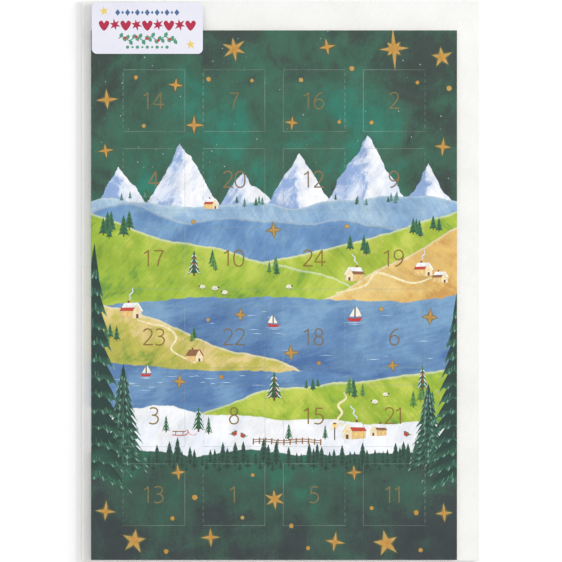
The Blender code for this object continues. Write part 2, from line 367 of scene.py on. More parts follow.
night = {
    "light": colour(52, 122, 104), "middle": colour(63, 100, 84), "dark": colour(61, 72, 68),
    "cloud": 17.0, "strokes": 0.14, "grain": 0.3,
    "groundLight": colour(52, 114, 94), "groundMiddle": colour(62, 90, 78), "groundDark": colour(58, 66, 67),
    "ground": {"Height": -54.0, "Swell": 8.0, "Length": 33.0, "Seed": 31.0, "Ripple": 2.0},
    # how the balance of the tones falls: to both sides of a middle, up the sky and down the ground
    "middleX": -6.0, "sides": (22.0, 62.0, 0.0, -0.13), "sky": (40.0, panelHigh.y, 0.07, -0.08),
    "deep": (-54.0, panelLow.y, 0.05, -0.14),
    "rim": colour(228, 232, 218), "cutLine": colour(198, 238, 220), "cutShare": 0.13,
    "board": colour(228, 226, 218), "boardDark": colour(208, 205, 196),
}


def nightWash(tree, x, y, ground):
    # the dark green above the mountains and below the snow, brighter towards the picture's middle
    away = maths(tree, "ABSOLUTE", maths(tree, "SUBTRACT", x, night["middleX"]))
    names = ("groundLight", "groundMiddle", "groundDark") if ground else ("light", "middle", "dark")
    values = dict(zip(("Light", "Middle", "Dark"), (night[name] for name in names)))
    values["Balance"] = maths(tree, "ADD", rescale(tree, away, *night["sides"]),
                              rescale(tree, y, *night["deep" if ground else "sky"]))
    values |= {"Cloud Size": night["cloud"], "Strokes": night["strokes"], "Stroke Turn": 0.0,
               "Grain": night["grain"]}
    return useGroup(tree, washGroup, values)["Color"]


def addPeaks(tree, picture, place, x, y):
    # a chain of snow mountains, each with a lit and a shaded flank that meet in a zigzag ridge
    rough, broad = noise(tree, place, *peaks["rough"]), noise(tree, place, *peaks["broad"])
    leaning = sway(tree, x, broad, peaks["leaning"])
    zigzag = sway(tree, x, rough, peaks["zigzag"])
    for middle, top, halfWidth in peaks["places"]:
        away = maths(tree, "ABSOLUTE", maths(tree, "SUBTRACT", leaning, middle))
        crest = maths(tree, "SUBTRACT", top, maths(tree, "MULTIPLY", away, top / halfWidth / peaks["steep"]))
        crest = sway(tree, crest, rough, peaks["jitter"])
        mask = rescale(tree, maths(tree, "SUBTRACT", crest, y), 0.0, peaks["soft"])
        snow = useGroup(tree, washGroup, {
            "Light": peaks["light"], "Middle": peaks["middle"], "Dark": peaks["dark"],
            "Cloud Size": peaks["cloud"], "Strokes": peaks["strokes"],
            "Balance": rescale(tree, maths(tree, "SUBTRACT", zigzag, middle), *peaks["flanks"]),
            "Stroke Turn": 0.5 if halfWidth > 20 else -0.4})
        picture = mixColours(tree, mask, picture, snow["Color"])
    return picture


def addHills(tree, picture):
    # the hills and lakes, each in front of the one before it, with pale pigment along its crest
    settings = {"fall": (0.0, 22.0, 0.08, -0.07), "strokes": 0.32}
    for place in landscape.values():
        crest = useGroup(tree, crestGroup, place["crest"])
        fall = rescale(tree, crest["Depth"], *settings["fall"])
        wash = useGroup(tree, washGroup, {
            "Light": place["light"], "Middle": place["middle"], "Dark": place["dark"],
            "Cloud Size": place["cloud"], "Stroke Turn": place["turn"], "Strokes": settings["strokes"],
            "Balance": maths(tree, "ADD", fall, place["balance"])})
        picture = mixColours(tree, crest["Mask"], picture, wash["Color"])
        if place["rim"]:
            rim = maths(tree, "MULTIPLY", crest["Rim"], place["rim"])
            picture = mixColours(tree, rim, picture, night["rim"])
    return picture


def addCutLines(tree, tint):
    line = maths(tree, "MULTIPLY", useGroup(tree, cutGroup)["Line"], night["cutShare"])
    return mixColours(tree, line, tint, night["cutLine"])


def cardPrintFinish():
    # the printed board: a painted winter valley under a green night sky, plain board at its cut edges
    settings = {"grain": {"Fibre Size": 0.4, "Mottle Size": 6.0}, "shade": (0.36, 0.64, 0.9, 1.09),
                "boardTones": (0.3, 0.7), "gloss": (0.0, 1.0, 0.85, 0.48), "tooth": (0.12, 0.04)}
    material, tree, shader = newFinish("cardPrint", 0.5, 0.2)
    place, x, y = placeInMm(tree)
    picture = addPeaks(tree, nightWash(tree, x, y, False), place, x, y)
    picture = addHills(tree, picture)
    ground = useGroup(tree, crestGroup, night["ground"])
    picture = mixColours(tree, ground["Mask"], picture, nightWash(tree, x, y, True))
    grain = useGroup(tree, grainGroup, settings["grain"])
    picture = shadeBy(tree, picture, rescale(tree, grain["Tone"], *settings["shade"]))
    picture = addCutLines(tree, picture)
    side = useGroup(tree, faceGroup)["Face"]
    tone = rescale(tree, grain["Tone"], *settings["boardTones"])
    board = mixColours(tree, tone, night["boardDark"], night["board"])
    dress(tree, shader, mixColours(tree, side, board, picture), rescale(tree, side, *settings["gloss"]),
          grain["Height"], *settings["tooth"])
    return material


def inkFinish(name, roughness, variation, cutLines=False):
    # printed ink: each shape's own colour, clouded and grained a little
    settings = {"slant": (0.6, (1.0, 0.25, 1.0)), "strokes": (0.5, 2.0, 0.6), "clouds": (1.6, 3.0, 0.6),
                "share": 0.5, "tones": (0.3, 0.7), "gloss": 0.05, "tooth": (0.1, 0.03)}
    material, tree, shader = newFinish(name, roughness)
    own = newNode(tree, "Attribute", {}, attribute_name="ink").outputs["Color"]
    place = placeInMm(tree)[0]
    strokes = noise(tree, turned(tree, place, *settings["slant"]), *settings["strokes"])
    clouds = maths(tree, "MULTIPLY", noise(tree, place, *settings["clouds"]), settings["share"])
    tone = maths(tree, "MULTIPLY_ADD", strokes, settings["share"], clouds)
    tint = shadeBy(tree, own, rescale(tree, tone, *settings["tones"], 1.0 - variation, 1.0 + variation))
    if cutLines:
        tint = addCutLines(tree, tint)
    gloss = rescale(tree, tone, *settings["tones"], roughness + settings["gloss"],
                    roughness - settings["gloss"])
    dress(tree, shader, tint, gloss, tone, *settings["tooth"])
    return material


cardPrint = cardPrintFinish()
printInk = inkFinish("printInk", 0.45, 0.16, True)
pictureInk = inkFinish("pictureInk", 0.45, 0.16)
labelInk = inkFinish("labelInk", 0.35, 0.1)
envelopePaper = paperFinish("envelopePaper", (243, 243, 241), (234, 234, 231), 0.85, 0.3, 0.6, 14.0)
boardWhite = paperFinish("boardWhite", (240, 238, 232), (232, 229, 221), 0.8, 0.2, 0.4, 8.0)
pictureGround = paperFinish("pictureGround", (233, 231, 224), (225, 222, 214), 0.75, 0.15, 0.4, 8.0)
labelPaper = paperFinish("labelPaper", (233, 233, 243), (223, 224, 237), 0.4, 0.08, 0.3, 12.0)
gumFinish = paperFinish("driedGum", (232, 230, 216), (214, 211, 194), 0.25, 0.35, 0.8, 5.0)
print("finishes made")

for name in doorNames + ["front_panel"]:
    nodes[name].data.materials[0] = cardPrint
for name in ("envelope_front", "envelope_tab_top", "envelope_tab_bottom", "envelope_back", "envelope_flap"):
    nodes[name].data.materials[0] = envelopePaper
nodes["card_back"].data.materials[0] = boardWhite
nodes["picture_sheet"].data.materials[0] = pictureGround
nodes["label"].data.materials[0] = labelPaper


# Meshes from plain lists of corners and faces, in mm

def newPiece(name, corners, faces, materials, inks=None, slots=None):
    mesh = bpy.data.meshes.new(name)
    mesh.from_pydata([Vector(corner) * mm for corner in corners], [], faces)
    for material in materials:
        mesh.materials.append(material)
    if slots:
        mesh.polygons.foreach_set("material_index", slots)
    if inks:   # one for each corner of each face
        layer = mesh.color_attributes.new("ink", "FLOAT_COLOR", "CORNER")
        layer.data.foreach_set("color", [value for ink in inks for value in ink])
    mesh.update()
    piece = bpy.data.objects.new(name, mesh)
    bpy.context.scene.collection.objects.link(piece)
    return piece


# Painted shapes: coloured triangles, each over the ones painted before it

painted = []       # corners and inks of each triangle that waits for its sheet


def addShape(corners, faces, inks):
    for face in faces:
        for second, third in zip(face[1:-1], face[2:]):
            triangle = (face[0], second, third)
            painted.append(([corners[index] for index in triangle], [inks[index] for index in triangle]))


def paint(corners, ink, middle=None, middleInk=None):
    # a filled outline in one ink or one for each corner; with a middle the colour runs from there to the rim
    corners = [Vector(corner) for corner in corners]
    inks = list(ink) if isinstance(ink[0], (tuple, list)) else [ink] * len(corners)
    if middle is None:
        faces = tessellate_polygon([[corner.to_3d() for corner in corners]])
    else:
        count = len(corners)
        corners.append(Vector(middle))
        inks.append(middleInk or inks[0])
        faces = [(index, (index + 1) % count, count) for index in range(count)]
    addShape(corners, faces, inks)


def stroke(points, width, ink, closed=False, taper=0.0):
    # a brush or pen line of even width, or tapering to its ends
    points = [Vector(point) for point in points]
    count = len(points)
    corners, faces = [], []
    for index, point in enumerate(points):
        before = points[index - 1] if index or closed else point
        after = points[(index + 1) % count] if index < count - 1 or closed else point
        along = (after - before).normalized()
        share = index / max(count - 1, 1)
        side = Vector((-along.y, along.x)) * width / 2 * (1 - taper * abs(2 * share - 1) ** 1.5)
        corners += [point + side, point - side]
    for index in range(count if closed else count - 1):
        ahead = (index + 1) % count
        faces.append((2 * index, 2 * index + 1, 2 * ahead + 1, 2 * ahead))
    addShape(corners, faces, [ink] * len(corners))


def smoothed(points, closed=False, steps=5):
    # a soft curve through the points
    points = [Vector(point) for point in points]
    count = len(points)
    curve = []
    for index in range(count if closed else count - 1):
        near = [index + shift for shift in (-1, 0, 1, 2)]
        a, b, c, d = (points[place % count if closed else min(max(place, 0), count - 1)] for place in near)
        for step in range(steps):
            t = step / steps
            curve.append(0.5 * (2 * b + (c - a) * t + (2 * a - 5 * b + 4 * c - d) * t * t
                                + (3 * b - a - 3 * c + d) * t ** 3))
    return curve if closed else curve + [points[-1]]


def oval(middle, halfWidth, halfHeight, count=16, start=0.0, end=360.0):
    steps = count if abs(end - start) >= 360 else count - 1
    turns = [math.radians(start + (end - start) * index / steps) for index in range(count)]
    return [(middle[0] + halfWidth * math.cos(turn), middle[1] + halfHeight * math.sin(turn))
            for turn in turns]


def rectangle(left, low, right, high):
    return (left, low), (right, low), (right, high), (left, high)


def placed(points, place, size=1.0, turn=0.0):
    # points of a small drawing, scaled, turned in degrees and moved to their place
    c, s = math.cos(math.radians(turn)), math.sin(math.radians(turn))
    return [(place[0] + size * (x * c - y * s), place[1] + size * (x * s + y * c)) for x, y in points]


def sketch(place, size=1.0, side=1):
    # brushes for a small drawing in units of its own: filled shapes, ovals, and lines with a width in mm.
    # With a core, the colour goes from the core's ink to the shape's own at its rim. Side -1 mirrors it all
    def own(points):
        return placed([(x * side, y) for x, y in points], place, size)

    def shape(ink, *points, core=None, coreInk=None):
        paint(own(points), ink, core and own([core])[0], coreInk)

    def blob(ink, x, y, halfWidth, halfHeight, count=12, **core):
        shape(ink, *oval((x, y), halfWidth, halfHeight, count), **core)

    def line(ink, width, *points, closed=False, taper=0.0):
        stroke(own(points), width, ink, closed, taper)
    return SimpleNamespace(shape=shape, blob=blob, line=line)


def bothSides(half):
    # a mirrored outline from its one half; points on the mirror line, where x is nought, aren't repeated
    return half + tuple((-x, y) for x, y in reversed(half) if x)


def spread(count, pitch):
    # even steps to both sides of nought
    return [(index - (count - 1) / 2) * pitch for index in range(count)]


def blendInks(first, second, share):
    return tuple(a + (b - a) * share for a, b in zip(first, second))


# Skins of ink on their sheets

# height over the sheet, depth in it, how near two corners are joined, the thinnest triangle that counts,
# and how steeply the height falls towards a crease
inkSkin = {"top": 0.02, "root": 0.01, "join": 1e-4, "thin": 5e-4, "fall": 0.07}


def inkTop(x):
    # beside the doors' creases the ink lies lower, so that an open door can lie on the panel
    away = min(abs(x - line) for line in creaseLines)
    return min(inkSkin["top"], inkSkin["fall"] * max(away, crease["bare"]))


def inkAt(spot, corners, inks):
    # the ink of a triangle at a spot inside it
    a, b, c = corners
    whole = (b - a).cross(c - a)
    shareB = (spot - a).cross(c - a) / whole
    shareC = (b - a).cross(spot - a) / whole
    return tuple(max(p + (q - p) * shareB + (r - p) * shareC, 0.0) for p, q, r in zip(*inks))


def holds(corners, spot):
    # whether an outline that runs against the clock has the spot inside
    return all((b - a).cross(spot - a) >= 0 for a, b in zip(corners, corners[1:] + corners[:1]))


def makeSkin(parts, spots, surface):
    # a thin closed solid from flat triangles and the inks of their corners
    skin = {"corners": [], "faces": [], "inks": [], "slots": []}
    upper, rims = {}, {}
    for part, inks in parts:
        for index in part:
            if index not in upper:
                upper[index] = len(skin["corners"])
                x, y = spots[index]
                skin["corners"] += [(x, y, surface + inkTop(x)), (x, y, surface - inkSkin["root"])]
        face = tuple(upper[index] for index in part)
        skin["faces"] += [face, tuple(corner + 1 for corner in reversed(face))]
        skin["inks"] += inks + inks[::-1]
        for a, b, inkA, inkB in zip(face, face[1:] + face[:1], inks, inks[1:] + inks[:1]):
            if (b, a) in rims:
                del rims[(b, a)]
            else:
                rims[(a, b)] = (inkA, inkB)
    for (a, b), (inkA, inkB) in rims.items():
        skin["faces"].append((a + 1, b + 1, b, a))
        skin["inks"] += [inkA, inkB, inkB, inkA]
    skin["slots"] = [0] * len(skin["faces"])
    return skin


def layInk(sheets, surface):
    # turns all that is painted into one flat skin for each sheet: where shapes overlap, the last one shows.
    # A sheet is a name and a rectangle. The last that holds a spot takes its ink, and one without a name
    # wastes it
    shapes = [([Vector(corner) for corner in rectangle(low.x, low.y, high.x, high.y)], None)
              for name, low, high in sheets]
    for corners, inks in painted:
        area = (corners[1] - corners[0]).cross(corners[2] - corners[0])
        longest = max((a - b).length for a, b in zip(corners, corners[1:] + corners[:1]))
        if abs(area) > inkSkin["thin"] * longest:
            shapes.append((corners, inks) if area > 0 else (corners[::-1], inks[::-1]))
    painted.clear()
    points, outlines = [], []
    for corners, inks in shapes:
        outlines.append(list(range(len(points), len(points) + len(corners))))
        points += corners
    spots, edges, faces, fromPoints, fromEdges, fromShapes = delaunay_2d_cdt(
        points, [], outlines, 1, inkSkin["join"], True)
    parts = {name: [] for name, low, high in sheets if name}
    for face, sources in zip(faces, fromShapes):
        middle = sum((spots[index] for index in face), Vector((0.0, 0.0))) / len(face)
        holders = [source for source in sorted(sources) if holds(shapes[source][0], middle)]
        below = [source for source in holders if source < len(sheets)]
        if not below or holders[-1] < len(sheets):
            continue
        name = sheets[below[-1]][0]
        if name:
            corners, inks = shapes[holders[-1]]
            parts[name].append((face, [inkAt(spots[index], corners, inks) for index in face]))
    return {name: makeSkin(own, spots, surface) for name, own in parts.items()}


# Numbers: pen lines in units of their height, drawn for this card

number = {
    # room is half of what a number takes up sideways and upward, in its own heights
    "height": 5.1, "pen": 0.44, "room": (0.8, 0.6),
    "rows": ((14, 7, 16, 2), (4, 20, 12, 9), (17, 10, 24, 19), (23, 22, 18, 6), (3, 8, 15, 21),
             (13, 1, 5, 11)),
    # the thin gold ink takes on a little of what it is printed over: night, peaks, meadow or water
    "inks": {"n": colour(119, 109, 72), "p": colour(134, 110, 76), "m": colour(138, 110, 50),
             "w": colour(118, 106, 92)},
    "over": ("nnnn", "pppp", "mmmm", "mwww", "mmmm", "nnnn"),
}

digits = {
    # advance, then each pen line: closed or not, curved or not, points
    "0": (0.74, [(True, True, ((0.37, 1.0), (0.13, 0.85), (0.07, 0.5), (0.13, 0.15), (0.37, 0.0),
                               (0.61, 0.15), (0.67, 0.5), (0.61, 0.85)))]),
    "1": (0.58, [(False, True, ((0.04, 0.80), (0.19, 0.88), (0.31, 1.0))),
                 (False, False, ((0.30, 1.0), (0.30, 0.0)))]),
    "2": (0.74, [(False, True, ((0.10, 0.84), (0.20, 0.96), (0.36, 1.0), (0.54, 0.93), (0.61, 0.76),
                                (0.56, 0.58), (0.39, 0.34), (0.09, 0.03))),
                 (False, False, ((0.08, 0.03), (0.68, 0.03)))]),
    "3": (0.74, [(False, True, ((0.12, 0.94), (0.26, 0.99), (0.42, 0.98), (0.56, 0.89), (0.58, 0.74),
                                (0.50, 0.60), (0.36, 0.545), (0.24, 0.54))),
                 (False, True, ((0.24, 0.54), (0.42, 0.53), (0.58, 0.44), (0.63, 0.28), (0.56, 0.11),
                                (0.40, 0.015), (0.22, 0.01), (0.08, 0.07)))]),
    "4": (0.78, [(False, False, ((0.50, 0.99), (0.06, 0.29))), (False, False, ((0.05, 0.27), (0.74, 0.27))),
                 (False, False, ((0.51, 1.0), (0.51, 0.0)))]),
    "5": (0.74, [(False, False, ((0.21, 0.965), (0.62, 0.965))),
                 (False, False, ((0.215, 0.98), (0.165, 0.55))),
                 (False, True, ((0.165, 0.56), (0.32, 0.60), (0.47, 0.57), (0.60, 0.46), (0.63, 0.30),
                                (0.56, 0.12), (0.40, 0.015), (0.23, 0.01), (0.09, 0.06)))]),
    "6": (0.74, [(False, True, ((0.60, 0.99), (0.43, 0.94), (0.26, 0.80), (0.14, 0.58), (0.10, 0.36),
                                (0.15, 0.14), (0.29, 0.015), (0.39, 0.0))),
                 (False, True, ((0.39, 0.0), (0.50, 0.03), (0.62, 0.15), (0.66, 0.30), (0.62, 0.46),
                                (0.50, 0.57), (0.37, 0.59), (0.22, 0.52), (0.12, 0.39)))]),
    "7": (0.72, [(False, False, ((0.08, 0.965), (0.65, 0.965))),
                 (False, True, ((0.64, 0.96), (0.50, 0.70), (0.38, 0.40), (0.29, 0.0)))]),
    "8": (0.74, [(True, True, ((0.37, 0.995), (0.22, 0.95), (0.15, 0.78), (0.21, 0.61), (0.37, 0.545),
                               (0.53, 0.61), (0.59, 0.78), (0.52, 0.95))),
                 (True, True, ((0.37, 0.545), (0.18, 0.46), (0.10, 0.27), (0.18, 0.07), (0.37, 0.005),
                               (0.56, 0.07), (0.64, 0.27), (0.56, 0.46)))]),
    "9": (0.74, [(False, True, ((0.14, 0.01), (0.31, 0.06), (0.48, 0.20), (0.60, 0.42), (0.64, 0.64),
                                (0.59, 0.86), (0.45, 0.985), (0.35, 1.0))),
                 (False, True, ((0.35, 1.0), (0.24, 0.97), (0.12, 0.85), (0.08, 0.70), (0.12, 0.54),
                                (0.24, 0.43), (0.37, 0.41), (0.52, 0.48), (0.62, 0.61)))]),
}


def writeNumber(value, middle, height, ink):
    text = str(value)
    left = middle[0] - sum(digits[digit][0] for digit in text) * height / 2
    for digit in text:
        advance, lines = digits[digit]
        for closed, curved, points in lines:
            line = smoothed(points, closed, 4) if curved else points
            stroke(placed(line, (left, middle[1] - height / 2), height), number["pen"], ink, closed)
        left += advance * height


def paintNumbers():
    for row, values, grounds in zip(reversed(rowMiddles), number["rows"], number["over"]):
        for column, value, ground in zip(columnMiddles, values, grounds):
            writeNumber(value, (column, row), number["height"], number["inks"][ground])


# Stars

star = {
    "centre": colour(190, 138, 60), "tip": colour(190, 166, 104), "halo": colour(88, 92, 58),
    "haloOnValley": colour(128, 118, 88), "haloWidth": 0.616, "dotSize": 0.4,
    "waists": {4: 0.27, 5: 0.36, 6: 0.34}, "tips": (0.86, 1.08), "dotEdge": (0.88, 1.1), "dotHalo": 1.25,
    # x, y, height, points, lean in degrees
    "stars": ((-54.6, 57.0, 6.4, 4, 4), (-33.0, 61.6, 4.6, 4, -6), (-14.6, 73.0, 7.6, 6, 8),
              (-27.2, 49.0, 5.6, 4, 0), (14.6, 73.6, 5.2, 4, 10), (3.6, 49.8, 4.4, 4, -4),
              (50.6, 70.4, 6.6, 5, 6), (51.0, 42.2, 5.4, 4, -5), (-55.0, 41.0, 4.6, 4, 8),
              (-55.0, -72.4, 6.0, 4, -4), (-32.2, -60.2, 4.8, 4, 6), (-46.0, -81.6, 7.8, 5, -8),
              (-22.0, -80.6, 5.6, 4, 2), (-1.9, -68.6, 6.4, 6, 5), (17.0, -82.0, 6.0, 4, -8),
              (23.1, -60.2, 4.8, 4, 3), (51.4, -73.0, 5.6, 4, 4), (33.2, -82.4, 8.4, 5, 12),
              (-2.2, 16.0, 4.2, 4, 5), (-12.6, -10.6, 3.6, 4, -5), (3.2, -22.6, 4.4, 4, 4),
              (47.0, -11.4, 4.6, 4, -4), (35.2, -26.6, 3.4, 4, 6), (-31.8, -31.6, 3.8, 4, -6)),
    "guide": (35.6, 73.0, 13.5),
    "dots": ((-45.5, 64.0, 1.6), (-22.6, 63.4, 1.8), (-9.0, 63.0, 1.4), (6.4, 63.2, 1.7), (22.4, 66.8, 1.9),
             (28.6, 49.8, 1.6), (43.0, 62.4, 1.4), (53.0, 60.6, 2.0), (-43.0, 48.8, 1.5), (18.4, 50.0, 1.3),
             (-34.0, -74.6, 1.6), (-27.0, -68.0, 2.0), (-8.8, -61.0, 1.4),
             (3.4, -77.0, 1.8), (8.6, -84.0, 1.5), (28.6, -71.4, 1.5), (42.6, -72.8, 1.9),
             (44.0, -84.6, 1.6), (-36.0, -85.0, 1.8), (-12.0, -74.4, 1.5),
             (-27.4, 18.6, 1.5), (20.8, 17.2, 1.6), (31.6, -8.8, 1.5),
             (12.0, -25.8, 1.4), (-22.8, -12.2, 1.3), (-18.6, -30.2, 1.5)),
}


def starOutline(height, points, waist, jitter):
    outline = []
    for index in range(points * 2):
        turn = math.pi / 2 + index * math.pi / points
        reach = height / 2 * (jitter.uniform(*star["tips"]) if index % 2 == 0 else waist)
        outline.append((reach * math.cos(turn), reach * math.sin(turn)))
    return outline


def haloInk(y):
    onValley = night["ground"]["Height"] < y < landscape["farHills"]["crest"]["Height"]
    return star["haloOnValley" if onValley else "halo"]


def paintStar(place, height, points, lean, jitter, outline=None):
    outline = outline or starOutline(height, points, star["waists"][points], jitter)
    grown = []
    for x, y in outline:
        growth = 1 + star["haloWidth"] / max(math.hypot(x, y), 0.6)
        grown.append((x * growth, y * growth))
    paint(placed(grown, place, 1, lean), haloInk(place[1]), place, haloInk(place[1]))
    inks = [star["tip"] if index % 2 == 0 else star["centre"] for index in range(len(outline))]
    paint(placed(outline, place, 1, lean), inks, place, star["centre"])


def paintStars():
    jitter = random.Random(24)
    for x, y, height, points, lean in star["stars"]:
        paintStar((x, y), height, points, lean, jitter)
    x, y, height = star["guide"]
    reaches = (0.5, 0.13, 0.2, 0.11, 0.34, 0.13, 0.2, 0.11) * 2
    turns = [math.pi / 2 + index * math.pi / 8 for index in range(len(reaches))]
    guide = [(height * reach * math.cos(turn), height * reach * math.sin(turn))
             for reach, turn in zip(reaches, turns)]
    paintStar((x, y), height, 8, 3, jitter, guide)
    for x, y, width in star["dots"]:
        pale = blendInks(star["centre"], star["tip"], jitter.uniform(0.0, 0.7))
        wobble = [(px * jitter.uniform(*star["dotEdge"]), py * jitter.uniform(*star["dotEdge"]))
                  for px, py in oval((0, 0), width * star["dotSize"], width * star["dotSize"], 12)]
        paint(placed(wobble, (x, y), star["dotHalo"]), haloInk(y))
        paint(placed(wobble, (x, y)), pale)


# Firs, big ones at the sides and small ones in groups

fir = {
    "snow": colour(232, 236, 242), "bauble": colour(196, 62, 48), "wood": colour(108, 78, 48),
    # in heights of the fir; of hem and peak first the lowest tier's, then how far they climb
    "width": (0.46, 0.58), "trunk": ((-0.035, 0.0), (0.035, 0.0), (0.03, 0.16), (-0.03, 0.16)),
    "hem": (0.1, 0.816), "peak": (0.52, 0.48), "droop": 0.05, "ruffle": 0.02, "notch": (0.045, 0.03),
    "snowWidth": 0.035, "baubleSize": 0.03,
    # shares: of a tier's half width, of its height, and of the fir's for the baubles
    "narrowing": 0.8, "lean": 0.04, "notchReach": 0.92, "heart": 0.3, "baubleSpread": 0.7,
    "baubleLevels": (0.15, 0.8),
}
firInks = {   # dark and light of the boughs, and the trunk
    "near": (colour(44, 86, 62), colour(70, 122, 80), colour(100, 76, 50)),
    "far": (colour(84, 122, 126), colour(110, 150, 138), colour(84, 110, 116)),
    "dark": (colour(40, 64, 56), colour(54, 94, 78), colour(44, 54, 50)),
    "young": (colour(72, 118, 62), colour(120, 158, 78), colour(96, 84, 50)),
}


def paintFir(x, y, height, tone, jitter, snow=0.0, baubles=0):
    # tiers of drooping boughs, each lighter at its tips
    dark, light, bark = firInks[tone]
    width = height * jitter.uniform(*fir["width"])
    art = sketch((x, y), height)
    art.shape(bark, *fir["trunk"])
    tiers = 4 if height > 6 else 3 if height > 3 else 2
    (lowHem, hemClimb), (lowPeak, peakClimb), (notchUp, notchFall) = fir["hem"], fir["peak"], fir["notch"]
    for tier in range(tiers):
        bottom = y + height * (lowHem + hemClimb * tier / tiers)
        top = min(y + height * (lowPeak + peakClimb * (tier + 1) / tiers), y + height)
        half = width / 2 * (1 - fir["narrowing"] * tier / tiers)
        teeth = 5 if half > 1.2 else 3
        outline, inks = [(x + jitter.uniform(-fir["lean"], fir["lean"]) * half, top)], [light]
        for step in range(teeth + 1):
            share = 1 - 2 * step / teeth
            droop = abs(share) ** 1.5 * height * fir["droop"]
            ruffle = height * fir["ruffle"] * jitter.uniform(-1, 1)
            outline.append((x + half * share, bottom - droop + ruffle))
            inks.append(light if step in (0, teeth) else dark)
            if step < teeth:
                inner = share - 1 / teeth
                notch = bottom + height * (notchUp - abs(inner) * notchFall)
                outline.append((x + half * inner * fir["notchReach"], notch))
                inks.append(dark)
        paint(outline, inks, (x, bottom + (top - bottom) * fir["heart"]), dark)
        if snow:
            for side in (-1, 1):
                cap = ((0.92, height * 0.01), (0.6, height * 0.05), (0.25, (top - bottom) * 0.36))
                cap = [(x + side * half * out, bottom + up) for out, up in cap]
                stroke(smoothed(cap, steps=3), snow * height * fir["snowWidth"], fir["snow"], taper=0.7)
    for index in range(baubles):
        sideways = jitter.uniform(-fir["baubleSpread"], fir["baubleSpread"])
        level = jitter.uniform(*fir["baubleLevels"])
        art.blob(fir["bauble"], sideways * width / 2 * (1 - level) / height, level, fir["baubleSize"],
                 fir["baubleSize"], 8)


tallFir = {
    "core": colour(36, 60, 54), "edge": colour(50, 90, 74), "tip": colour(76, 128, 102),
    "frost": colour(140, 174, 162), "frostWidth": 0.3, "frostLength": 1.5,
    "tiers": 13, "bough": 1.5, "needles": 1.6, "needleWidth": 0.24,
    # in heights, the lowest hem and how far the hems climb; in tiers, how high a skirt is; in half widths,
    # how far its hem falls and where its notches lie
    "hems": (0.05, 0.9), "rise": 1.9, "fall": 0.36, "notchReach": 0.97, "notchRise": 0.06,
    # between which values these stray
    "ragged": (0.92, 1.06), "sway": (-0.2, 0.2), "tipDrop": (0.1, 0.8), "needleReach": (-0.95, 0.95),
    "needleRise": (0.2, 1.2), "needleTint": (0.2, 1.2), "needleLength": (0.9, 1.9), "frostShare": (0.6, 1.1),
    # x, foot, height and half width, from the back to the front
    "places": ((-49.5, -59.0, 32.0, 7.6), (46.4, -58.0, 25.0, 6.2), (-58.6, -66.0, 76.0, 12.0),
               (55.6, -66.0, 62.0, 11.0)),
}


def paintTallFir(x, y, height, halfWidth, jitter):
    # many skirts of boughs, dark at the top and light at the tips, with needles on them and frost at the hem
    tiers = tallFir["tiers"]
    lowest, climb = tallFir["hems"]
    for tier in range(tiers):
        level = tier / tiers
        bottom = y + height * (lowest + climb * level)
        half = halfWidth * (1 - level) ** 0.85 * jitter.uniform(*tallFir["ragged"]) + 0.5
        rise = height / tiers * tallFir["rise"]
        fall = half * tallFir["fall"]
        boughs = max(3, round(half / tallFir["bough"]))
        apex = Vector((x + jitter.uniform(*tallFir["sway"]), bottom + rise))

        def hem(share):
            return bottom - fall * abs(share) ** 1.6

        def shoulder(share):
            return x + half * share, hem(share) + rise * (1 - abs(share)) ** 1.2 + 0.3
        outline, inks, tips = [apex, shoulder(0.35), shoulder(0.7)], ["core"] * 3, []
        for step in range(boughs * 2 + 1):
            share = 1 - step / boughs
            if step % 2:
                notch = hem(share) + halfWidth * tallFir["notchRise"]
                outline.append((x + half * share * tallFir["notchReach"], notch))
                inks.append("edge")
            else:
                tips.append(Vector((x + half * share, hem(share) - jitter.uniform(*tallFir["tipDrop"]))))
                outline.append(tips[-1])
                inks.append("tip")
        outline += [shoulder(-0.7), shoulder(-0.35)]
        paint(outline, [tallFir[ink] for ink in inks + ["core"] * 2])
        for needle in range(round(boughs * tallFir["needles"])):
            share = jitter.uniform(*tallFir["needleReach"])
            foot = Vector((x + half * share, hem(share) + jitter.uniform(*tallFir["needleRise"])))
            tint = blendInks(tallFir["edge"], tallFir["tip"], jitter.uniform(*tallFir["needleTint"]))
            toward = (apex - foot).normalized() * jitter.uniform(*tallFir["needleLength"])
            stroke((foot, foot + toward), tallFir["needleWidth"], tint)
        for tip in tips:
            length = tallFir["frostLength"] * jitter.uniform(*tallFir["frostShare"])
            toward = (apex - tip).normalized() * length
            middle = tip + toward * 0.5 + Vector((0.0, 0.12))
            stroke((tip, middle, tip + toward), tallFir["frostWidth"], tallFir["frost"], taper=0.8)


# Small things of the valley: houses, boats, sheep, robins, a fence, a lamp and a toboggan

house = {"wallLight": colour(238, 222, 186), "wall": colour(222, 190, 132), "roof": colour(190, 72, 52),
         "brownRoof": colour(140, 98, 66), "roofDark": colour(150, 56, 46), "snow": colour(240, 242, 246),
         "window": colour(250, 206, 96), "door": colour(110, 70, 46), "smoke": colour(214, 222, 230),
         # in widths of the house: middle, half width, bottom, top
         "openings": ((0.21, 0.06, 0.02, 0.22, "door"), (0.21, 0.045, 0.33, 0.42, "window"),
                      (-0.1736, 0.05, 0.16, 0.29, "window"), (-0.434, 0.05, 0.16, 0.29, "window"))}


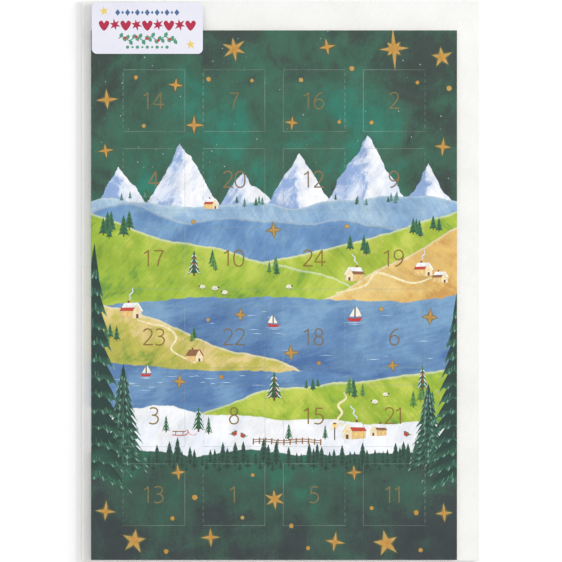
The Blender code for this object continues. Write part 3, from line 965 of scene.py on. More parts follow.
def paintHouse(x, y, width, roof="roof", side=1, snowy=True, smoke=False):
    # a little house seen at a slant: gable, long wall, chimney, roof with snow, door and lit windows
    art = sketch((x, y), width, side)
    art.shape(house["wallLight"], (0, 0), (0.42, 0.03), (0.42, 0.42), (0.21, 0.76), (0, 0.42))
    art.shape(house["wall"], (0, 0), (0, 0.42), (-0.62, 0.4032), (-0.62, 0.05))
    art.shape(house["roofDark"], *rectangle(-0.267, 0.546, -0.167, 0.88))
    if smoke:
        puff = [(-0.217 + 0.035 * step + 0.05 * side * math.sin(step * 1.7), 0.9 + 0.09 * step)
                for step in range(8)]
        art.line(house["smoke"], width * 0.07, *smoothed(puff, steps=4), taper=0.6)
    art.shape(house[roof], (-0.01, 0.37), (0.21, 0.78), (-0.4348, 0.76), (-0.67, 0.37))
    art.line(house["snow" if snowy else "roofDark"], width * 0.07, (0.21, 0.775), (0.47, 0.36))
    if snowy:
        art.shape(house["snow"], (0.089, 0.5545), (0.21, 0.78), (-0.4348, 0.76), (-0.5524, 0.5338))
    for middle, half, low, top, ink in house["openings"]:
        art.shape(house[ink], *rectangle(middle - half, low, middle + half, top))


def paintBoat(x, y, width, side):
    art = sketch((x, y), width, side)
    for reach, level in ((0.75, -0.13), (0.5, -0.24)):
        art.line(valley["foam"], 0.22, (-reach, level), (0.0, level - 0.02), (reach, level), taper=0.9)
    art.shape(valley["red"], (-0.5, 0.18), (-0.34, -0.06), (0.36, -0.06), (0.56, 0.22), (0.0, 0.13))
    art.line(fir["wood"], 0.2, (0.04, 0.12), (0.04, 1.06))
    art.shape(valley["sail"], (0.1, 0.26), (0.5, 0.3), (0.3, 0.7), (0.1, 1.0))
    art.shape(valley["sail"], (-0.02, 0.26), (-0.02, 0.84), (-0.34, 0.27))


def paintSheep(x, y, size, side):
    art = sketch((x, y), size)
    for leg in (-0.3, -0.1, 0.16, 0.34):
        art.line(valley["darkWool"], 0.16, (leg, 0), (leg, 0.35))
    curls = oval((0, 0), 0.5, 0.34, 14)
    wool = [(px * (1 + 0.12 * (index % 2)), 0.5 + py * (1 + 0.12 * (index % 2)))
            for index, (px, py) in enumerate(curls)]
    art.shape(valley["wool"], *wool, core=(0, 0.4), coreInk=valley["woolShade"])
    art.blob(valley["darkWool"], side * 0.56, 0.62, 0.17, 0.13, 10)


def paintRobin(x, y, size, side):
    art = sketch((x, y), size, side)
    art.line(valley["darkWool"], 0.12, (0, 0), (0.05 * side, 0.4))
    art.shape(valley["feather"], (-0.3, 0.55), (-0.95, 0.5), (-0.4, 0.35))
    art.blob(valley["feather"], 0, 0.55, 0.46, 0.36, 16)
    art.blob(valley["red"], 0.2, 0.56, 0.28, 0.29, 14)
    art.blob(valley["feather"], 0.24, 0.9, 0.24, 0.2, 12)


fence = {"rails": (0.75, 1.45), "railWidth": 0.26, "railSteps": 12, "sag": 0.25, "waves": 10.8,
         "pitch": 1.9, "post": 2.0, "lean": 0.06, "postWidth": 0.42, "capLevel": 2.1, "capEnds": (-0.3, 0.4),
         "capWidth": 0.3}


def paintFence(left, right, y):
    # two sagging rails, and posts with snow on top
    width = right - left

    def sag(share):
        return y + fence["sag"] * math.sin(share * fence["waves"])
    shares = [step / fence["railSteps"] for step in range(fence["railSteps"] + 1)]
    for level in fence["rails"]:
        rail = [(left + width * share, level + sag(share)) for share in shares]
        stroke(rail, fence["railWidth"], valley["wood"])
    count = round(width / fence["pitch"])
    for index in range(count + 1):
        x, foot = left + width * index / count, sag(index / count)
        stroke([(x, foot), (x + fence["lean"], foot + fence["post"])], fence["postWidth"], valley["wood"])
        cap = [(x + end, foot + fence["capLevel"]) for end in fence["capEnds"]]
        stroke(cap, fence["capWidth"], house["snow"])


def paintLamp(x, y, height):
    art = sketch((x, y))
    foot, top = height * 0.74, height * 0.93     # of the lantern on the post
    glow = blendInks(house["window"], house["snow"], 0.6)
    haze = blendInks(glow, landscape["snow"]["middle"], 0.55)
    art.blob(haze, 0, height * 0.86, 1.7, 1.9, 18, core=(0, height * 0.86), coreInk=glow)
    art.line(valley["darkWool"], 0.34, (0, 0), (0, foot))
    art.shape(house["window"], (-0.42, foot), (0.42, foot), (0.62, top), (-0.62, top))
    art.shape(valley["darkWool"], (-0.8, top), (0.8, top), (0, height * 1.03))


def paintToboggan(x, y, size):
    art = sketch((x, y), size)
    for foot in (-0.32, 0.2):
        art.line(valley["wood"], 0.24, (foot, 0.0), (foot + 0.02, 0.24))
    runner = ((-0.56, 0.02), (-0.3, -0.02), (0.26, -0.02), (0.48, 0.06), (0.58, 0.24), (0.46, 0.38))
    art.line(valley["red"], 0.28, *smoothed(runner, steps=4))
    art.line(valley["wood"], 0.42, (-0.54, 0.27), (0.42, 0.27))
    art.line(house["snow"], 0.14, (-0.5, 0.31), (0.38, 0.31))
    art.line(valley["red"], 0.14, *smoothed(((0.52, 0.32), (0.74, 0.04), (1.0, 0.0), (1.16, 0.12)), steps=4))


valley = {
    "red": colour(196, 58, 48), "sail": colour(246, 238, 216), "foam": colour(186, 212, 234),
    "wool": colour(240, 236, 222), "woolShade": colour(212, 206, 190), "darkWool": colour(74, 62, 54),
    "feather": colour(128, 104, 82), "wood": colour(142, 104, 70), "path": colour(238, 224, 178),
    # x, y, width, roof, side, snow, smoke
    "houses": ((-21.4, 22.6, 4.2, "roof", 1, True, False), (22.8, 0.0, 5.6, "brownRoof", -1, True, True),
               (45.4, 1.6, 5.4, "roof", 1, True, True), (50.6, -0.6, 4.6, "brownRoof", 1, True, False),
               (-46.4, -11.8, 6.4, "roof", 1, True, True), (-26.6, -25.4, 5.0, "brownRoof", 1, False, False),
               (22.4, -49.8, 7.0, "roof", -1, True, True), (30.2, -48.8, 5.0, "brownRoof", -1, True, False)),
    # x, y, height, snow, baubles
    "firs": ((-27.2, 1.6, 8.2, 1, 6), (-2.0, -37.6, 9.2, 1, 7), (-25.8, -47.4, 8.0, 1, 0),
             (-22.6, -48.2, 5.6, 1, 0), (44.6, -34.4, 8.0, 1, 5), (14.0, -49.8, 4.6, 1, 0),
             (2.6, -50.2, 5.4, 1, 0), (-36.0, -47.6, 5.4, 1, 0)),
    # middle x and y, half width and half height of the group, count, height, tone
    "woods": ((-9.0, 23.6, 5.0, 0.8, 5, 2.8, "far"), (27.0, 24.4, 10.0, 1.0, 8, 2.8, "far"),
              (-47.0, 25.6, 6.0, 0.8, 5, 2.6, "far"), (-51.6, 14.4, 4.4, 1.6, 6, 6.0, "near"),
              (-22.6, 3.6, 2.4, 1.4, 3, 4.4, "young"), (-3.0, 2.4, 2.2, 1.2, 4, 4.0, "young"),
              (24.6, 8.6, 3.0, 1.0, 4, 5.0, "near"), (46.6, 14.6, 5.0, 1.4, 6, 5.2, "near"),
              (-52.0, -19.6, 3.4, 1.6, 4, 5.4, "near"), (-27.0, -19.2, 1.4, 0.8, 2, 3.8, "young"),
              (23.4, -36.4, 2.6, 1.0, 4, 5.4, "young"), (45.0, -38.8, 4.4, 1.6, 5, 5.0, "young"),
              (10.0, -34.2, 2.4, 0.8, 3, 3.8, "near")),
    # the dark edge of the wood under the snow
    "forest": {"count": 76, "foot": -57.0, "low": 3.6, "high": 8.6, "shrink": 0.2, "drop": 3.0,
               "stride": 0.618},
    "boats": ((23.2, -12.4, 4.6, 1), (-2.2, -14.2, 3.6, -1), (-42.4, -29.8, 3.4, 1)),
    "sheep": ((-20.6, -3.2, 1.9, 1), (-17.6, -4.4, 1.7, -1), (-24.6, -2.6, 1.6, -1), (2.6, -2.6, 1.7, 1),
              (29.6, -38.8, 1.8, -1), (33.0, -36.4, 1.6, 1)),
    "robins": ((-14.6, -49.0, 1.9, 1), (-11.8, -49.6, 1.8, -1), (39.6, -49.2, 1.9, -1)),
    "fence": (-8.6, 12.6, -51.4), "lamp": (17.0, -50.0, 5.4), "toboggan": (-31.6, -48.4, 4.4),
    "paths": (((47.4, 1.0), (41.0, -0.6), (30.4, 2.6), (26.6, -1.4), (17.4, -3.8)),
              ((-45.2, -12.2), (-41.0, -13.4), (-35.8, -14.6), (-32.8, -17.8), (-34.2, -21.8),
               (-26.6, -25.8)),
              ((20.4, -45.8), (17.9, -43.8), (19.3, -41.4), (18.1, -39.0), (20.5, -36.9),
               (19.9, -35.0))),
    # each lake's left, right, lower and upper end, and the line under which the far lake has its shore
    "ripples": {"count": 54, "near": (-55.0, -6.0, -34.5, -29.5), "far": (-55.0, 50.0, -26.0, -8.5),
                "shore": (-21.0, -0.33), "length": (1.6, 5.0), "bend": (-0.2, 0.2), "width": (0.14, 0.26)},
    "specks": {"count": 56, "low": 30.0, "size": (0.09, 0.19), "pale": (0.3, 0.7)},
}


def crossesNumber(x, y, half):
    # whether a level line runs through a door's number
    wide, high = (number["height"] * share for share in number["room"])
    return (min(abs(x - middle) for middle in columnMiddles) < wide + half
            and min(abs(y - middle) for middle in rowMiddles) < high)


def paintSpecks(jitter):
    # far stars, as small pale drops of paint
    specks = valley["specks"]
    for index in range(specks["count"]):
        spot = (jitter.uniform(panelLow.x, panelHigh.x), jitter.uniform(specks["low"], panelHigh.y))
        size = jitter.uniform(*specks["size"])
        ink = blendInks(night["light"], house["snow"], jitter.uniform(*specks["pale"]))
        if not crossesNumber(*spot, size):
            paint(oval(spot, size, size, 6), ink)


def paintRipples(jitter):
    # short pale strokes on the two lakes
    ripples = valley["ripples"]
    level, slope = ripples["shore"]
    for index in range(ripples["count"]):
        left, right, low, high = ripples["far" if index % 3 else "near"]
        x, y = jitter.uniform(left, right), jitter.uniform(low, high)
        if index % 3 and y < level + slope * x:
            continue
        length = jitter.uniform(*ripples["length"])
        if crossesNumber(x, y, length / 2):
            continue
        bend = y + jitter.uniform(*ripples["bend"])
        stroke([(x - length / 2, y), (x, bend), (x + length / 2, y)], jitter.uniform(*ripples["width"]),
               valley["foam"], taper=0.95)


def paintForest(jitter):
    # dark young firs along the foot of the snow, from the back to the front
    forest = valley["forest"]
    for order in range(forest["count"]):
        share = order / forest["count"]
        x = panelLow.x + (order * forest["stride"]) % 1.0 * (panelHigh.x - panelLow.x)
        height = jitter.uniform(forest["low"], forest["high"]) * (1.0 - forest["shrink"] * share)
        paintFir(x, forest["foot"] - forest["drop"] * share, height, "dark", jitter)


def paintValley():
    jitter = random.Random(7)
    paintSpecks(jitter)
    paintRipples(jitter)
    for points in valley["paths"]:
        stroke(smoothed(points, steps=6), 0.8, valley["path"], taper=0.45)
    for x, y, halfWidth, halfHeight, count, height, tone in valley["woods"]:
        for order in range(count):
            back = 1 - order / count
            paintFir(x + halfWidth * jitter.uniform(-1, 1), y + halfHeight * (2 * back - 1),
                     height * jitter.uniform(0.75, 1.2), tone if order % 3 else "near", jitter)
    for place in valley["houses"]:
        paintHouse(*place)
    for x, y, height, snow, baubles in valley["firs"]:
        paintFir(x, y, height, "near", jitter, snow, baubles)
    for painter, name in ((paintBoat, "boats"), (paintSheep, "sheep"), (paintRobin, "robins")):
        for place in valley[name]:
            painter(*place)
    paintFence(*valley["fence"])
    paintLamp(*valley["lamp"])
    paintToboggan(*valley["toboggan"])
    paintForest(jitter)
    for place in tallFir["places"]:
        paintTallFir(*place, jitter)


paintValley()
paintStars()
paintNumbers()

printSheets = [("front_panel", panelLow, panelHigh)]
for name in doorNames:
    # the two skins meet in the middle of the cut, a hair apart, and stay back a little from the crease
    low, high = doorBoxes[name]
    gap = Vector((cutWidth - lap, cutWidth - lap, 0.0))
    reach = Vector((lap, lap, 0.0))
    waste, own = [low - gap, high + gap], [low - reach, high + reach]
    side = 0 if creaseX[name] < doorMiddles[name].x else 1
    inward = 1 - 2 * side
    waste[side].x = creaseX[name] - inward * crease["bare"]
    own[side].x = creaseX[name] + inward * crease["bare"]
    printSheets += [("", *waste), (name, *own)]
films = layInk(printSheets, panelHigh.z)


# outward and upward, from the printed face over the edge and down into the cut
rimProfile = ((-0.05, 0.001), (0.0, 0.0), (lap * 0.6, -0.008), (lap * 0.92, -0.02), (lap, -0.05),
              (lap, -0.26), (-0.02, -0.28))


def addRim(film, low, high, outward):
    # the pressed edge of a die cut, as a frame round a door (outward 1) or inside its window (-1)
    first = len(film["corners"])
    for offset, depth in rimProfile:
        d = offset * outward
        for x, y in rectangle(low.x - d, low.y - d, high.x + d, high.y + d):
            film["corners"].append((x, y, panelHigh.z + depth))
    for ring in range(len(rimProfile)):
        near, far = first + ring * 4, first + (ring + 1) % len(rimProfile) * 4
        for side in range(4):
            after = (side + 1) % 4
            a, b, c, d = near + side, near + after, far + after, far + side
            film["faces"].append((b, a, d, c) if outward > 0 else (a, b, c, d))
            film["inks"] += [night["middle"]] * 4
            film["slots"].append(1)


for name in doorNames:
    low, high = doorBoxes[name]
    addRim(films[name], low, high, 1)
    gap = Vector((cutWidth, cutWidth, 0.0))
    addRim(films["front_panel"], low - gap, high + gap, -1)

for home, film in films.items():
    pieceName = "panelPrint" if home == "front_panel" else "doorPrint" + home[4:]
    piece = newPiece(pieceName, film["corners"], film["faces"], [printInk, cardPrint], film["inks"],
                     film["slots"])
    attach(piece, "card_front" if home == "front_panel" else home)
print("print cut into panel and doors:", sum(len(film["faces"]) for film in films.values()), "faces")


# Small drawings for the hidden pictures, about 12 mm high round their middle

crimson, gold = colour(186, 44, 52), colour(222, 166, 66)
pine, cream = colour(52, 104, 70), colour(246, 238, 216)
toys = {"flame": colour(250, 190, 70), "glow": colour(255, 236, 170), "skyBlue": colour(104, 150, 206),
        "leaf": colour(84, 138, 72), "brown": colour(120, 78, 50), "white": colour(244, 245, 248),
        "deepGold": colour(178, 116, 42), "rose": colour(226, 120, 112)}


def drawStar(middle, jitter):
    paintStar(middle, 12.5, 5, 4, jitter)


def drawFir(middle, jitter):
    paintFir(middle[0], middle[1] - 6.5, 13.0, "near", jitter, 1, 9)
    paintStar((middle[0], middle[1] + 6.4), 3.0, 5, 0, jitter)


def drawBell(middle, jitter):
    art = sketch(middle)
    body = bothSides(((-4.6, -3.4), (-3.7, -2.2), (-3.1, 0.6), (-2.2, 3.0), (0.0, 4.0)))
    art.blob(toys["deepGold"], 0, -4.2, 1.3, 1.3, 14)
    art.shape(gold, *smoothed(body), core=(0, 0), coreInk=toys["glow"])
    art.line(toys["deepGold"], 0.7, (-4.0, -2.6), (0.0, -3.0), (4.0, -2.6))
    for side in (-1, 1):
        art = sketch(middle, 1, side)
        art.shape(crimson, *smoothed(((0.2, 4.2), (2.6, 6.2), (3.6, 4.6), (2.0, 3.6)), True))
        art.line(crimson, 0.8, (0.2, 4.0), (1.8, 2.2), (2.6, 0.8))


def drawCandle(middle, jitter):
    art = sketch(middle)
    art.blob(toys["glow"], 0, 4.6, 2.6, 3.0, 20)
    art.blob(toys["deepGold"], 0, -5.0, 4.4, 1.2, 20)
    art.shape(crimson, (-1.7, -5.0), (1.7, -5.0), (1.7, 2.2), (1.0, 2.6), (-1.2, 2.4), (-1.7, 2.0))
    art.line(toys["rose"], 0.7, (1.0, 2.2), (1.05, 0.6))
    flame = smoothed(((0.0, 2.6), (1.1, 4.0), (0.1, 7.0), (-1.0, 4.0)), True)
    art.shape(toys["flame"], *flame, core=(0, 4.0), coreInk=toys["deepGold"])
    art.line(toys["deepGold"], 0.6, (-4.0, -4.4), (-5.2, -3.4), (-5.4, -4.8), (-4.2, -5.2))


def drawBauble(middle, jitter):
    art = sketch(middle)
    shade = crimson if jitter.random() < 0.5 else toys["skyBlue"]
    art.blob(shade, 0, -1.0, 4.6, 4.6, 28, core=(-1.4, 0.6), coreInk=toys["rose"])
    art.line(gold, 0.8, *oval((0, 3.4), 4.9, 4.9, 12, 228, 312))
    art.line(cream, 0.5, *oval((0, 0.8), 5.2, 4.9, 12, 230, 310))
    art.shape(gold, (-0.9, 3.4), (0.9, 3.4), (0.8, 4.7), (-0.8, 4.7))
    art.line(toys["deepGold"], 0.3, *oval((0, 5.4), 0.7, 0.8, 14), closed=True)
    art.blob(toys["white"], -2.0, 1.0, 0.7, 1.1)


def drawHeart(middle, jitter):
    art = sketch(middle)
    half = ((0.0, 3.0), (1.6, 4.9), (4.0, 4.6), (4.9, 2.2), (3.4, -1.2), (0.0, -5.2))
    heart = smoothed(bothSides(half), True)
    art.shape(toys["brown"], *heart, core=(0, 0), coreInk=toys["deepGold"])
    stroke(placed(heart, middle, 0.82), 0.45, toys["white"], True)
    for x, y in ((0.0, 0.6), (-1.7, 2.0), (1.7, 2.0), (0.0, -2.0)):
        art.blob(crimson, x, y, 0.5, 0.5, 10)


def drawSnowflake(middle, jitter):
    for turn in range(0, 360, 60):
        stroke(placed(((0.7, 0.0), (5.6, 0.0)), middle, 1, turn), 0.6, toys["white"])
        for reach in (2.4, 4.0):
            for side in (-1, 1):
                tip = (reach + 1.2, side * 1.3 * (1.2 if reach < 3 else 0.8))
                stroke(placed(((reach, 0.0), tip), middle, 1, turn), 0.45, toys["white"])
    paint(placed(oval((0, 0), 0.9, 0.9, 12), middle), toys["skyBlue"])


def drawApple(middle, jitter):
    art = sketch(middle)
    half = ((0.0, 2.6), (2.2, 3.4), (4.4, 1.6), (4.0, -2.0), (1.6, -4.6), (0.0, -4.0))
    art.shape(crimson, *smoothed(bothSides(half), True), core=(-1.4, 0.6), coreInk=toys["rose"])
    art.line(toys["brown"], 0.5, *smoothed(((0.0, 2.2), (0.3, 4.0), (1.0, 5.2))))
    art.shape(toys["leaf"], *smoothed(((0.5, 4.0), (2.4, 5.6), (4.2, 5.0), (2.6, 3.9)), True))
    art.blob(toys["white"], -2.3, 1.0, 0.6, 1.0)


def drawHouse(middle, jitter):
    paint(placed(oval((0, -3.6), 7.0, 1.6, 20), middle), toys["white"])
    paintHouse(middle[0] + 1.2, middle[1] - 3.8, 9.4, smoke=True)


def drawHolly(middle, jitter):
    place = (middle[0], middle[1] - 2.6)
    for turn in (35, 145):
        spikes = [(0.0, 0.0), (1.2, 1.3), (1.9, 0.9), (3.0, 2.0), (3.9, 1.2), (5.0, 1.5), (6.8, 0.0),
                  (5.0, -1.5), (3.9, -1.2), (3.0, -2.0), (1.9, -0.9), (1.2, -1.3)]
        paint(placed(spikes, place, 1, turn), pine, placed(((3.2, 0.0),), place, 1, turn)[0], toys["leaf"])
        stroke(placed(((0.4, 0.0), (6.0, 0.0)), place, 1, turn), 0.3, toys["leaf"], taper=0.5)
    art = sketch(middle)
    for x, y in ((-1.1, -3.4), (1.1, -3.4), (0.0, -1.7)):
        art.blob(crimson, x, y, 1.2, 1.2, 14, core=(x - 0.3, y + 0.3), coreInk=toys["rose"])


def drawLantern(middle, jitter):
    art = sketch(middle)
    art.shape(toys["glow"], (-2.5, -4.2), (2.5, -4.2), (2.9, 2.0), (-2.9, 2.0), core=(0, -1.2),
              coreInk=toys["flame"])
    for x in (-2.5, 0.0, 2.5):
        art.line(toys["brown"], 0.4, (x * 0.98, -4.2), (x * 1.1, 2.0))
    art.shape(toys["brown"], (-3.0, -5.2), (3.0, -5.2), (2.6, -4.2), (-2.6, -4.2))
    art.shape(toys["brown"], (-3.4, 2.0), (3.4, 2.0), (1.0, 4.4), (-1.0, 4.4))
    art.line(toys["brown"], 0.45, *oval((0, 4.6), 1.6, 1.8, 14, 0, 180))


def drawCane(middle, jitter):
    art = sketch(middle)
    cane = smoothed(((-1.6, -5.6), (-0.6, -1.6), (0.4, 2.2), (1.6, 4.6), (3.6, 4.6), (4.2, 2.6)), steps=8)
    art.line(toys["white"], 1.9, *cane)
    for index in range(2, len(cane) - 3, 5):
        art.line(crimson, 1.9, *cane[index:index + 3])
    art.shape(pine, (-0.9, -0.6), (-3.4, 0.8), (-3.2, -1.8), (-0.7, -1.0))
    art.shape(pine, (-0.5, -0.9), (1.9, 0.2), (1.7, -2.4))


pictures = {
    # each drawing is used twice, first on the one ground and then on the other
    "drawings": ((drawStar, "blue", "rose"), (drawFir, "rose", "ice"), (drawBell, "pine", "pine"),
                 (drawCandle, "ice", "blue"), (drawBauble, "cream", "cream"), (drawHeart, "lime", "rose"),
                 (drawSnowflake, "blue", "pine"), (drawApple, "cream", "ice"), (drawHouse, "pine", "pine"),
                 (drawHolly, "ice", "cream"), (drawLantern, "lime", "blue"), (drawCane, "blue", "lime")),
    "blue": colour(84, 132, 186), "ice": colour(196, 214, 226), "cream": colour(238, 216, 168),
    "pine": colour(66, 112, 92), "rose": colour(222, 176, 160), "lime": colour(170, 196, 120),
    "cell": 20.8, "shift": 5, "middleTint": 0.22,
    "speckles": 9, "speckleReach": (7.4, 9.2), "speckleSize": 0.35, "speckleTint": 0.75,
}


def paintPictures():
    # one drawing on its own tinted ground behind each door, none twice in the same row or column
    jitter = random.Random(12)
    half, drawings = pictures["cell"] / 2, pictures["drawings"]
    for place in range(len(doorNames)):
        row, column = divmod(place, len(columnMiddles))
        second = row // (len(rowMiddles) // 2)
        drawing, *tints = drawings[(place + second * pictures["shift"]) % len(drawings)]
        ground = pictures[tints[second]]
        x, y = Vector((columnMiddles[column], rowMiddles[len(rowMiddles) - 1 - row]))
        paint(rectangle(x - half, y - half, x + half, y + half), ground, (x, y),
              blendInks(ground, toys["white"], pictures["middleTint"]))
        for speckle in range(pictures["speckles"]):
            turn, reach = jitter.uniform(0, 2 * math.pi), jitter.uniform(*pictures["speckleReach"])
            spot = (x + reach * math.cos(turn), y + reach * math.sin(turn))
            paint(oval(spot, pictures["speckleSize"], pictures["speckleSize"], 8),
                  blendInks(ground, toys["white"], pictures["speckleTint"]))
        drawing((x, y), jitter)


paintPictures()
film = layInk([("picture_sheet", pictureLow, pictureHigh)], pictureHigh.z)["picture_sheet"]
picturePrint = newPiece("picturePrint", film["corners"], film["faces"], [pictureInk], film["inks"])
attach(picturePrint, "card_front")
print("hidden pictures painted:", len(film["faces"]), "faces")


# The sticker's ornaments: stars, beads, hearts, a garland with berries and a row of drops

sticker = {
    "blue": colour(74, 106, 150), "red": colour(176, 40, 70), "green": colour(84, 150, 122),
    "yellow": colour(232, 206, 112), "berry": colour(196, 52, 60),
    "beads": 13, "beadPitch": 1.55, "beadLevel": 4.9, "beadSizes": (0.8, 0.42),
    "hearts": 9, "heartPitch": 3.4, "heartLevel": 0.9, "heartSize": 1.4, "starSize": 3.8,
    "waveSteps": 37, "wavePitch": 0.5, "waveLevel": -3.3, "waveHeight": 0.6, "berrySize": 0.46,
    "drops": 9, "dropLevel": -6.0, "dropSizes": (0.52, 0.34),
}


def paintSticker():
    middle = ((labelLow.x + labelHigh.x) / 2, (labelLow.y + labelHigh.y) / 2)
    art = sketch(middle)
    jitter = random.Random(5)

    def stamp(outline, ink, x, y, size=1, turn=0):
        paint(placed(outline, (middle[0] + x, middle[1] + y), size, turn), ink)
    for x, y in ((-13.6, 5.4), (13.6, -5.2)):
        stamp(starOutline(3.0, 5, 0.42, jitter), sticker["yellow"], x, y, 1, 8)
    for index, x in enumerate(spread(sticker["beads"], sticker["beadPitch"])):
        size = sticker["beadSizes"][index % 2]
        bead = ((0.0, size * 1.3), (size, 0.0), (0.0, -size * 1.3), (-size, 0.0))
        stamp(bead, sticker["blue"], x, sticker["beadLevel"])
    half = ((0.0, 0.55), (0.5, 1.15), (1.15, 0.8), (0.95, -0.1), (0.0, -1.15))
    heart = smoothed(bothSides(half), True, 3)
    for index, x in enumerate(spread(sticker["hearts"], sticker["heartPitch"])):
        if index % 2:
            burst = starOutline(sticker["starSize"], 6, 0.4, jitter)
            stamp(burst, sticker["red"], x, sticker["heartLevel"] + 0.15, 1, 12)
        else:
            stamp(heart, sticker["red"], x, sticker["heartLevel"] - 0.15, sticker["heartSize"])
    wave = [(x, sticker["waveLevel"] + sticker["waveHeight"] * math.sin(step * 0.7))
            for step, x in enumerate(spread(sticker["waveSteps"], sticker["wavePitch"]))]
    art.line(sticker["green"], 0.32, *wave)
    leaf = smoothed(((0.0, 0.0), (0.7, 0.6), (1.6, 0.0), (0.7, -0.6)), True, 3)
    for step in range(1, len(wave), 2):
        stamp(leaf, sticker["green"], *wave[step], 1, 62 if step % 4 == 1 else -62)
    for x, y in wave[4:-2:7]:
        art.blob(sticker["berry"], x, y, sticker["berrySize"], sticker["berrySize"], 10)
    for index, x in enumerate(spread(sticker["drops"], sticker["beadPitch"])):
        size = sticker["dropSizes"][index % 2]
        art.blob(sticker["green"], x, sticker["dropLevel"], size, size)


paintSticker()
film = layInk([("label", labelLow, labelHigh)], labelHigh.z)["label"]
stickerPrint = newPiece("stickerPrint", film["corners"], film["faces"], [labelInk], film["inks"])
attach(stickerPrint, "card_front")
print("sticker painted")


# Creases of the doors: bridges of board between the perforations

def addDoorCrease(name):
    onLeft = creaseX[name] < doorMiddles[name].x
    inward = 1 if onLeft else -1
    panelSide = creaseX[name] - inward * cutWidth / 2
    doorSide = creaseX[name] + inward * cutWidth / 2
    stations = [panelSide - inward * crease["into"], panelSide + inward * crease["flat"], creaseX[name],
                doorSide - inward * crease["flat"], doorSide + inward * crease["into"]]
    heights = (panelHigh.z - crease["under"], panelLow.z + crease["over"])
    corners, faces = [], []
    for along in spread(crease["count"], crease["pitch"]):
        middle = doorMiddles[name].y + along
        first = len(corners)
        for station in stations:
            for y in (middle - crease["bridge"] / 2, middle + crease["bridge"] / 2):
                corners += [(station, y, z) for z in heights]
        last = len(corners) - 4
        for a in range(first, last, 4):
            b = a + 4
            faces += [(a, b, b + 2, a + 2), (a + 1, a + 3, b + 3, b + 1), (a, a + 1, b + 1, b),
                      (a + 2, b + 2, b + 3, a + 3)]
        faces += [(first, first + 2, first + 3, first + 1), (last, last + 1, last + 3, last + 2)]
    if not onLeft:
        faces = [tuple(reversed(face)) for face in faces]
    piece = newPiece("doorCrease" + name[4:], corners, faces, [cardPrint])
    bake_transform(piece)


for name in doorNames:
    addDoorCrease(name)
print("door creases made")


# Folds of the card and the envelope

def foldSkin(name, profile, start, end, axis, material):
    # a thin skin round a folded edge; profile is (across, height), and the skin runs from start to end
    corners, faces = [], []
    for along in (start, end):
        for across, height in profile:
            corners.append((across, along, height) if axis == "y" else (along, across, height))
    ring = len(profile)
    for index in range(ring):
        after = (index + 1) % ring
        faces.append((index, after, ring + after, ring + index))
    faces.append(tuple(reversed(range(ring))))
    faces.append(tuple(range(ring, 2 * ring)))
    piece = newPiece(name, corners, faces, [material])
    tidy = bmesh.new()
    tidy.from_mesh(piece.data)
    bmesh.ops.triangulate(tidy, faces=[face for face in tidy.faces if len(face.verts) > 4])
    bmesh.ops.recalc_face_normals(tidy, faces=tidy.faces)
    tidy.to_mesh(piece.data)
    tidy.free()
    return piece


foldPaper = {"bulge": 0.05, "thickness": 0.08}


def skinProfile(edge, outward, top, bottom):
    # outer line over a folded edge from its top face to its bottom face, and back inside
    height, bulge = top - bottom, foldPaper["bulge"]
    # how far out, and how far from the face on that side towards the fold's middle
    half = [(-0.12, -0.004), (-0.02, -0.001), (bulge * 0.7, height * 0.06), (bulge, height * 0.2),
            (bulge, height * 0.4)]
    outer = [(edge + outward * out, top - inward) for out, inward in half]
    outer += [(edge + outward * out, bottom + inward) for out, inward in reversed(half)]
    return outer + [(across - outward * foldPaper["thickness"], level) for across, level in outer[-3:1:-1]]


spine = foldSkin("spineFold", skinProfile(panelLow.x, -1, panelHigh.z, backLow.z),
                 panelLow.y, panelHigh.y, "y", cardPrint)
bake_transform(spine)

leftFold = foldSkin("envelopeFoldLeft", skinProfile(envelopeLow.x, -1, envelopeHigh.z, envelopeBackLow.z),
                    envelopeBackLow.y, envelopeBackHigh.y, "y", envelopePaper)
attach(leftFold, "envelope")
for name, edge, outward in (("envelopeFoldTop", envelopeHigh.y, 1),
                            ("envelopeFoldBottom", envelopeLow.y, -1)):
    fold = foldSkin(name, skinProfile(edge, outward, envelopeHigh.z, tabLow.z),
                    tabLow.x, tabHigh.x, "x", envelopePaper)
    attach(fold, "envelope")

flapEdge = envelopeHigh.x
# how far out from the flap's edge, and the height
flapProfile = [(-0.12, envelopeHigh.z + 0.004), (0.0, envelopeHigh.z), (0.04, 1.1), (0.05, 0.9),
               (0.05, 0.64), (0.04, 0.38), (-0.06, 0.12), (-0.28, 0.0), (-0.5, -0.004), (-0.5, 0.03),
               (-0.3, 0.06), (-0.14, 0.17), (-0.04, 0.4), (-0.03, 0.64), (-0.03, 0.9), (-0.05, 1.1)]
flapFold = foldSkin("flapFold", [(flapEdge + out, height) for out, height in flapProfile],
                    flapLow.y, flapHigh.y, "y", envelopePaper)
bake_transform(flapFold)
print("folds made")


# Gum on the inner side of the envelope's flap

gum = {"width": 9.0, "margin": 2.4, "outer": 20.0, "inner": 16.0, "tint": colour(225, 222, 205)}


def addGumStrip():
    left = flapLow.x + gum["margin"]
    right = left + gum["width"]
    paint([(left, flapHigh.y - gum["outer"]), (left, flapLow.y + gum["outer"]),
           (right, flapLow.y + gum["inner"]), (right, flapHigh.y - gum["inner"])], gum["tint"])
    film = layInk([("flap", flapLow, flapHigh)], flapHigh.z)["flap"]
    piece = newPiece("gumStrip", film["corners"], film["faces"], [gumFinish])
    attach(piece, "envelope_flap")


addGumStrip()


# Camera, floor and light

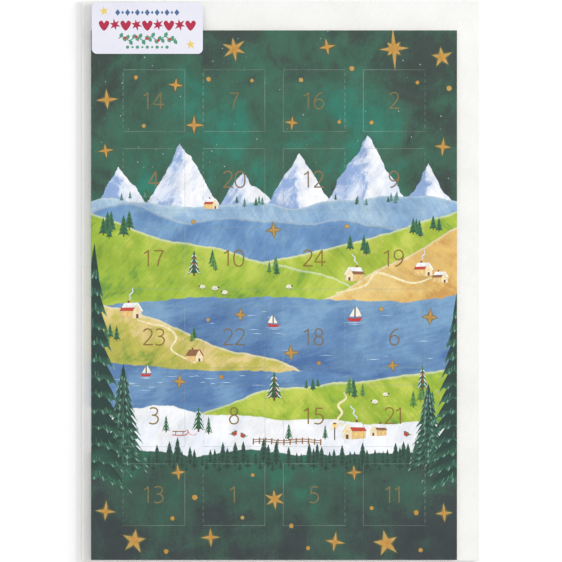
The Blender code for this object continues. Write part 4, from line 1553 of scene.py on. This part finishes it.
view = {"distance": 1.6, "width": 0.17667, "shiftRight": 0.12, "sensor": 36.0}
studio = {"world": 0.75, "key": 7.8, "keyPlace": (1.04, 0.22, 0.60), "keySize": 0.45,
          "fill": 1.2, "fillPlace": (-0.5, 0.6, 0.9), "fillSize": 0.6, "floorSize": 3.0, "floorLevel": -0.05}


def addCamera():
    data = bpy.data.cameras.new("camera")
    data.sensor_width = view["sensor"]
    data.lens = view["sensor"] * view["distance"] / view["width"]
    data.clip_end = 50.0
    camera = bpy.data.objects.new("camera", data)
    camera.location = (view["shiftRight"] * mm, 0.0, panelHigh.z * mm + view["distance"])
    bpy.context.scene.collection.objects.link(camera)
    bpy.context.scene.camera = camera


def addLamp(name, power, place, size):
    data = bpy.data.lights.new(name, "AREA")
    data.energy = power
    data.size = size
    lamp = bpy.data.objects.new(name, data)
    lamp.location = place
    lamp.rotation_euler = (-Vector(place)).to_track_quat("-Z", "Y").to_euler()
    bpy.context.scene.collection.objects.link(lamp)


def addFloor():
    half = studio["floorSize"] / 2 / mm
    material, tree, shader = newFinish("floorWhite", 0.9, 0.0)
    shader["Base Color"].default_value = (1.0, 1.0, 1.0, 1.0)
    corners = [(x, y, studio["floorLevel"]) for x, y in rectangle(-half, -half, half, half)]
    floor = newPiece("floor", corners, [(0, 1, 2, 3)], [material])


def addWorld():
    world = bpy.data.worlds.new("studio")
    bpy.context.scene.world = world
    world.use_nodes = True
    tree = world.node_tree
    background = tree.nodes["Background"]
    rays = tree.nodes.new("ShaderNodeLightPath").outputs
    direct = maths(tree, "MAXIMUM", rays["Is Camera Ray"], rays["Is Transmission Ray"])
    direct = maths(tree, "MAXIMUM", direct, rays["Is Glossy Ray"])
    background.inputs["Color"].default_value = (1.0, 1.0, 1.0, 1.0)
    feed(tree, background.inputs["Strength"], rescale(tree, direct, 0.0, 1.0, studio["world"], 1.0))


addCamera()
addFloor()
addWorld()
addLamp("keyLamp", studio["key"], studio["keyPlace"], studio["keySize"])
addLamp("fillLamp", studio["fill"], studio["fillPlace"], studio["fillSize"])
bpy.context.scene.view_settings.view_transform = "Standard"
print("camera and light placed")
